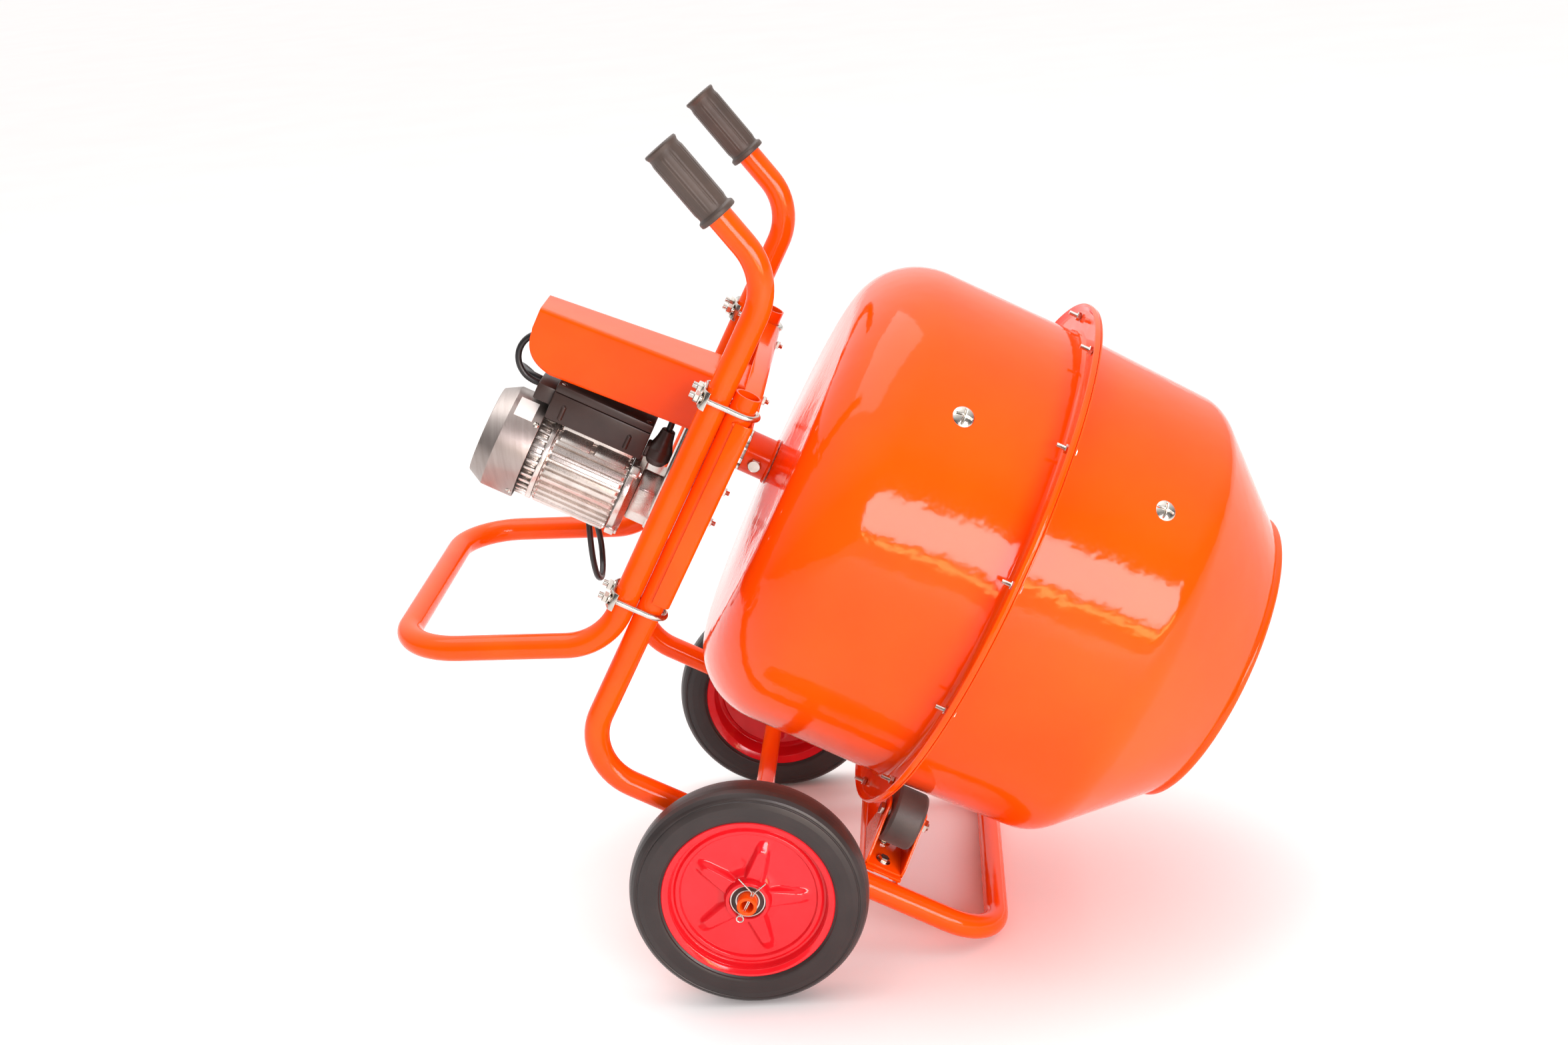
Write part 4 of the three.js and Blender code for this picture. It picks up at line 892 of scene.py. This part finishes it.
def motor():
    shield = lathe([(8, -482), (24, -482), (26, -470), (50, -468), (52, -461), (61, -460), (62, -459),
                    (62, -453), (54, -453), (24, -460), (22, -466), (8, -466)], 96, "x", 0.9, 3)
    webs = gathered(block(-476.5, -458, -2.1, 2.1, 53, 61.4, 1.0).turned(math.radians(5 + 10 * k), "X")
                    for k in range(36))
    shield += webs + washer(48, 52.5, -476.5, -458, "x", 96)
    piece("rear_shield_cast", shield.at(0, 0, MOTOR_Z), CAST, nodes=["rear_shield"])
    fins = 36

    def finned(r, s, angle):
        if r < 53.5:
            return r, s
        wave = 0.5 + 0.5 * math.cos(angle * fins)
        crest = min(1.0, max(0.0, (wave - 0.3) / 0.3))
        near_end = min(1.0, max(0.0, (53 - abs(s + 400)) / 5))
        return r - 5.2 * (1 - crest * crest * (3 - 2 * crest) * near_end ** 0.5), s

    half_rows = [(52.5, 52.4), (58.6, 52.4), (60.5, 51.6), (60.5, 50.2), (60.5, 48.6), (60.5, 46)]
    rows = [(r, -400 - s) for r, s in half_rows] + [(60.5, -400)]
    rows += [(r, -400 + s) for r, s in half_rows[::-1]]
    stator = polar(rows, fins * 14, "x", finned)
    stator += lathe([(51.8, -452.5), (57.5, -452.5), (57.5, -450), (51.8, -450)], 96, "x", 0.4, 2)
    stator += block(-449, -351, -31, 31, 50, 61.6, 1.5)
    for degrees in (-38, 38):
        stator += block(-446, -404, -10, 10, 50, 61.2, 1.6).turned(math.radians(degrees), "X")
        stator += block(-398, -354, -10, 10, 50, 61.2, 1.6).turned(math.radians(degrees), "X")
    for degrees in (150, 210):
        stator += block(-449, -351, -9, 9, 50, 61.4, 2).turned(math.radians(degrees), "X")
    piece("stator_housing_finned", stator.at(0, 0, MOTOR_Z), CAST, nodes=["stator_housing"],
          smooth=45)
    front = lathe([(14, -347), (62, -347), (62, -339), (52, -331), (14, -331)], 96, "x", 1.6, 4)
    for degrees in (45, 135, 225, 315):
        outline = filleted([(-9, 44), (9, 44), (9, 66), (-9, 66)], [0, 0, 5, 5], 5, True)
        lug = slab(outline, -347, -335, "x", 1.2)
        lug += aimed(bolt(2.8, 3.6, 5), (-335, 0, 60), (1, 0, 0))
        front += lug.turned(math.radians(degrees), "X")
    piece("front_shield_cast", front.at(0, 0, MOTOR_Z), CAST, nodes=["front_shield"])


# ---- Electrics and hood ----
def terminal_box():
    x0, x1, half, low, high = -476, -342, 47, 374, 412
    form = block(x0, x1, -half, half, low, high, 2.2)
    form += block(x0 - 24, x0 + 2, -38, 24, 389, high, 2.2)
    for x in (-457, -366):
        rib = lathe([(0, low + 4), (3.4, low + 6), (3.4, 398), (0, 401)], 20, "z", 1.4, 4)
        form += rib.at(x, -half + 0.6, 0)
    piece("terminal_box_moulded", form, PLASTIC, nodes=["terminal_box"])
    lid = block(x0, x1, -half, half, high + 0.3, high + 11.7, 2.6)
    lid += block(x0 + 14, x1 - 14, -half + 12, half - 12, high + 9, high + 12, 1.2)
    piece("terminal_lid_moulded", lid, PLASTIC, nodes=["terminal_lid"])
    screws = Form()
    for x in (x0 + 8, x1 - 8):
        for s in (-1, 1):
            screws += aimed(screw(3.6, 1.6), (x, s * (half - 8), high + 11.6), (0, 0, 1))
    piece("terminal_screws", screws, ZINC, smooth=40)


def gland():
    x, y, z = -323, -36, 390
    boot = filleted([(0, -17), (11, -15.5), (16.8, -7), (16.8, 6), (13, 15), (11, 22), (9, 34), (0, 34)],
                    [0, 3, 5, 5, 5, 4, 2, 0], 5)
    form = lathe(boot, 48, "z")
    form += lathe([(0, -18.7), (9, -18.7), (9, 0), (0, 0)], 32, "x", 0.6, 2)
    form += hexagon(12.5, -18.6, -13, "x")
    piece("cable_gland_moulded", form.at(x, y, z), PLASTIC, nodes=["cable_gland"], smooth=40)


HOOD_REAR, HOOD_FRONT = -534.0, -241.0
HOOD_RISE = math.tan(math.radians(4.3))
HOOD_LOW, HOOD_HIGH, HOOD_SHEET = 424.0, 503.0, 1.6
SWITCH_HOLE_X, SWITCH_HOLE_Z = (-467, -403), (451, 489)


def hood():
    """A folded sheet cover: two sides and a roof in one bend, with the lower rear corners rounded."""
    def top(x):
        return HOOD_HIGH + (x - HOOD_REAR) * HOOD_RISE

    def half(x):
        return 38 + 19 * (x - HOOD_REAR) / (HOOD_FRONT - HOOD_REAR)

    def in_switch_hole(place):
        x, y, z = place
        return SWITCH_HOLE_X[0] < x < SWITCH_HOLE_X[1] and y > 30 and SWITCH_HOLE_Z[0] < z < SWITCH_HOLE_Z[1]

    start, bend, low = (HOOD_REAR + 1, 470), (HOOD_REAR + 3, 432), (HOOD_REAR + 44, HOOD_LOW + 44 * HOOD_RISE)
    stations = [(HOOD_REAR, 474.0)]
    for k in range(17):
        t = k / 16
        a, b = Vector(start).lerp(Vector(bend), t), Vector(bend).lerp(Vector(low), t)
        stations.append(tuple(a.lerp(b, t)))
    steps = 48
    for k in range(1, steps + 1):
        x = low[0] + (HOOD_FRONT - low[0]) * k / steps
        stations.append((x, HOOD_LOW + (x - HOOD_REAR) * HOOD_RISE))
    fold, rows, columns = 5.0, 16, []
    for x, z_low in stations:
        h, t = half(x), top(x)
        side = [(-h, z_low + (t - fold - z_low) * k / rows) for k in range(rows)]
        arc = [(-h + fold - fold * math.cos(a), t - fold + fold * math.sin(a))
               for a in [math.pi / 2 * k / 6 for k in range(7)]]
        roof = [(v * (h - fold) / 6, t) for v in range(-5, 1)]
        left = side + arc + roof
        columns.append([(x, y, z) for y, z in left] + [(x, -y, z) for y, z in reversed(left[:-1])])
    width = len(columns[0])
    verts = [v for column in columns for v in column]
    faces = []
    for i in range(len(columns) - 1):
        for k in range(width - 1):
            a = i * width + k
            face = (a, a + width, a + width + 1, a + 1)
            if not all(in_switch_hole(verts[v]) for v in face):
                faces.append(face)
    obj = piece("hood_folded", Form(verts, faces), ORANGE, nodes=["hood"], smooth=40)
    centre = RAIL @ Vector((-390, 0, 440))
    mesh = obj.data
    middle = len(mesh.polygons) // 2
    outward = mesh.polygons[middle].normal.dot(mesh.polygons[middle].center - centre) > 0
    solid = obj.modifiers.new("sheet", "SOLIDIFY")
    solid.thickness = HOOD_SHEET * MM
    solid.offset = -1 if outward else 1
    solid.use_rim = True


def switch():
    body = block(-470, -400, -24, 34, 448, 496, 2.5)
    body += block(-468, -402, 44, 50, 450, 490, 1.8) + block(-465, -405, 30, 46, 453, 487, 1.5)
    for x in (-450, -421):
        body += lathe([(10.3, 49), (12.6, 49), (12.2, 51.4), (10.6, 51.4)], 48, "y", 0.5, 3).at(x, 0, 471)
    piece("switch_body_moulded", body, PLASTIC, nodes=["switch_body"])
    for name, x, material in (("start_button", -450, GREEN), ("stop_button", -421, STOP)):
        cap = lathe([(0, 43.4), (9.8, 43.4), (9.8, 53.4), (8.6, 54.9), (0, 54.9 - 0.6)], 64, "y", 0.8, 4)
        piece(f"{name}_cap", cap.at(x, 0, 471), material, name, [name])


# ---- Rollers ----
def rollers():
    x0, x1 = ROLLER_X - 26, ROLLER_X + 26
    line = filleted([(x0 + 1.75, BEAM_TOP - 20), (x0 + 1.75, BEAM_TOP - 1.75), (x1 - 1.75, BEAM_TOP - 1.75),
                     (x1 - 1.75, BEAM_TOP - 20)], [0, 4, 4, 0], 5)
    beam = strip(line, 3.5, -202, 202, "y", 0.8)
    for s in (-1, 1):
        beam += block(x0, x1, min(s * 200, s * 212), max(s * 200, s * 212), BEAM_TOP - 3.5, BEAM_TOP, 0.8)
        for x in (x0 + 8, x1 - 8):
            beam += sweep([(x - 7, s * 208, BEAM_TOP - 3.4), (x + 7, s * 208, BEAM_TOP - 3.4)], 2.4, 10)
    piece("roller_beam_folded", beam, ORANGE, nodes=["roller_beam"])
    for name, side in SIDES.items():
        y = side * ROLLER_Y
        low, sheet, half = BEAM_TOP + 0.3, 3.5, 26.5
        base = block(ROLLER_X - half, ROLLER_X + half, y - 46, y + 46, low, low + sheet, 0.9)
        shape = filleted([(y - 46, low), (y + 46, low), (y + 46, low + 12), (y + 18, ROLLER_Z + 2),
                          (y + 12, ROLLER_Z + 18), (y - 12, ROLLER_Z + 18), (y - 18, ROLLER_Z + 2),
                          (y - 46, low + 12)], [1, 1, 6, 8, 11, 11, 8, 6], 6, True)
        for s in (-1, 1):
            face = ROLLER_X + s * half
            base += slab(shape, min(face, face - s * sheet), max(face, face - s * sheet), "x", 1.0)
        piece(f"roller_bracket_{name}_folded", base, ORANGE, nodes=[f"roller_bracket_{name}"])
        bolts = Form()
        for v in (-27, 27):
            bolts += aimed(bolt(4, 5, 7.4, 10), (ROLLER_X - 2, y + v, low + sheet), (0, 0, 1))
        piece(f"roller_bracket_bolts_{name}", bolts, ZINC)
        pin = rod(5, -half - 2, half + 2)
        pin += aimed(bolt(5, 6, 9), (-half - 0.3, 0, 0), (-1, 0, 0))
        pin += aimed(nut_and_stud(5, 7, 9.5), (half + 0.3, 0, 0), (1, 0, 0))
        piece(f"roller_pin_{name}_bolt", pin.at(ROLLER_X, y, ROLLER_Z), ZINC, nodes=[f"roller_pin_{name}"])
        wheel_form = lathe([(9.4, -20), (34.5, -20.4), (36, -21), (ROLLER_R, -17), (ROLLER_R, 17), (36, 21),
                            (34.5, 20.4), (9.4, 20)], 96, "x", 2.2, 4)
        piece(f"roller_{name}_tyre", wheel_form.at(ROLLER_X, y, ROLLER_Z), ROLLER, f"roller_{name}",
              [f"roller_{name}"], 40)
        sleeve = washer(5.8, 9.6, -21, 21, "x", 48)
        piece(f"roller_{name}_sleeve", sleeve.at(ROLLER_X, y, ROLLER_Z), STEEL, f"roller_{name}")


camera()
leads()
studio()
tubes()
for side_name, side_sign in SIDES.items():
    grip(side_name, side_sign)
    for level_name, height in CLAMP_LEVELS.items():
        clamp(level_name, height, side_name, side_sign)
    wheel(side_name, side_sign)
mounting_plate()
axle_and_pins()
drum_shells()
drum_fasteners()
paddles()
hub()
gearbox()
fan_cover()
motor()
terminal_box()
gland()
hood()
switch()
rollers()
for hidden_node, hidden_material in (("cooling_fan", PLASTIC), ("stator_core", COPPER), ("rotor", STEEL),
                                     ("layshaft", STEEL), ("output_shaft", STEEL)):
    repaint(hidden_node, hidden_material)
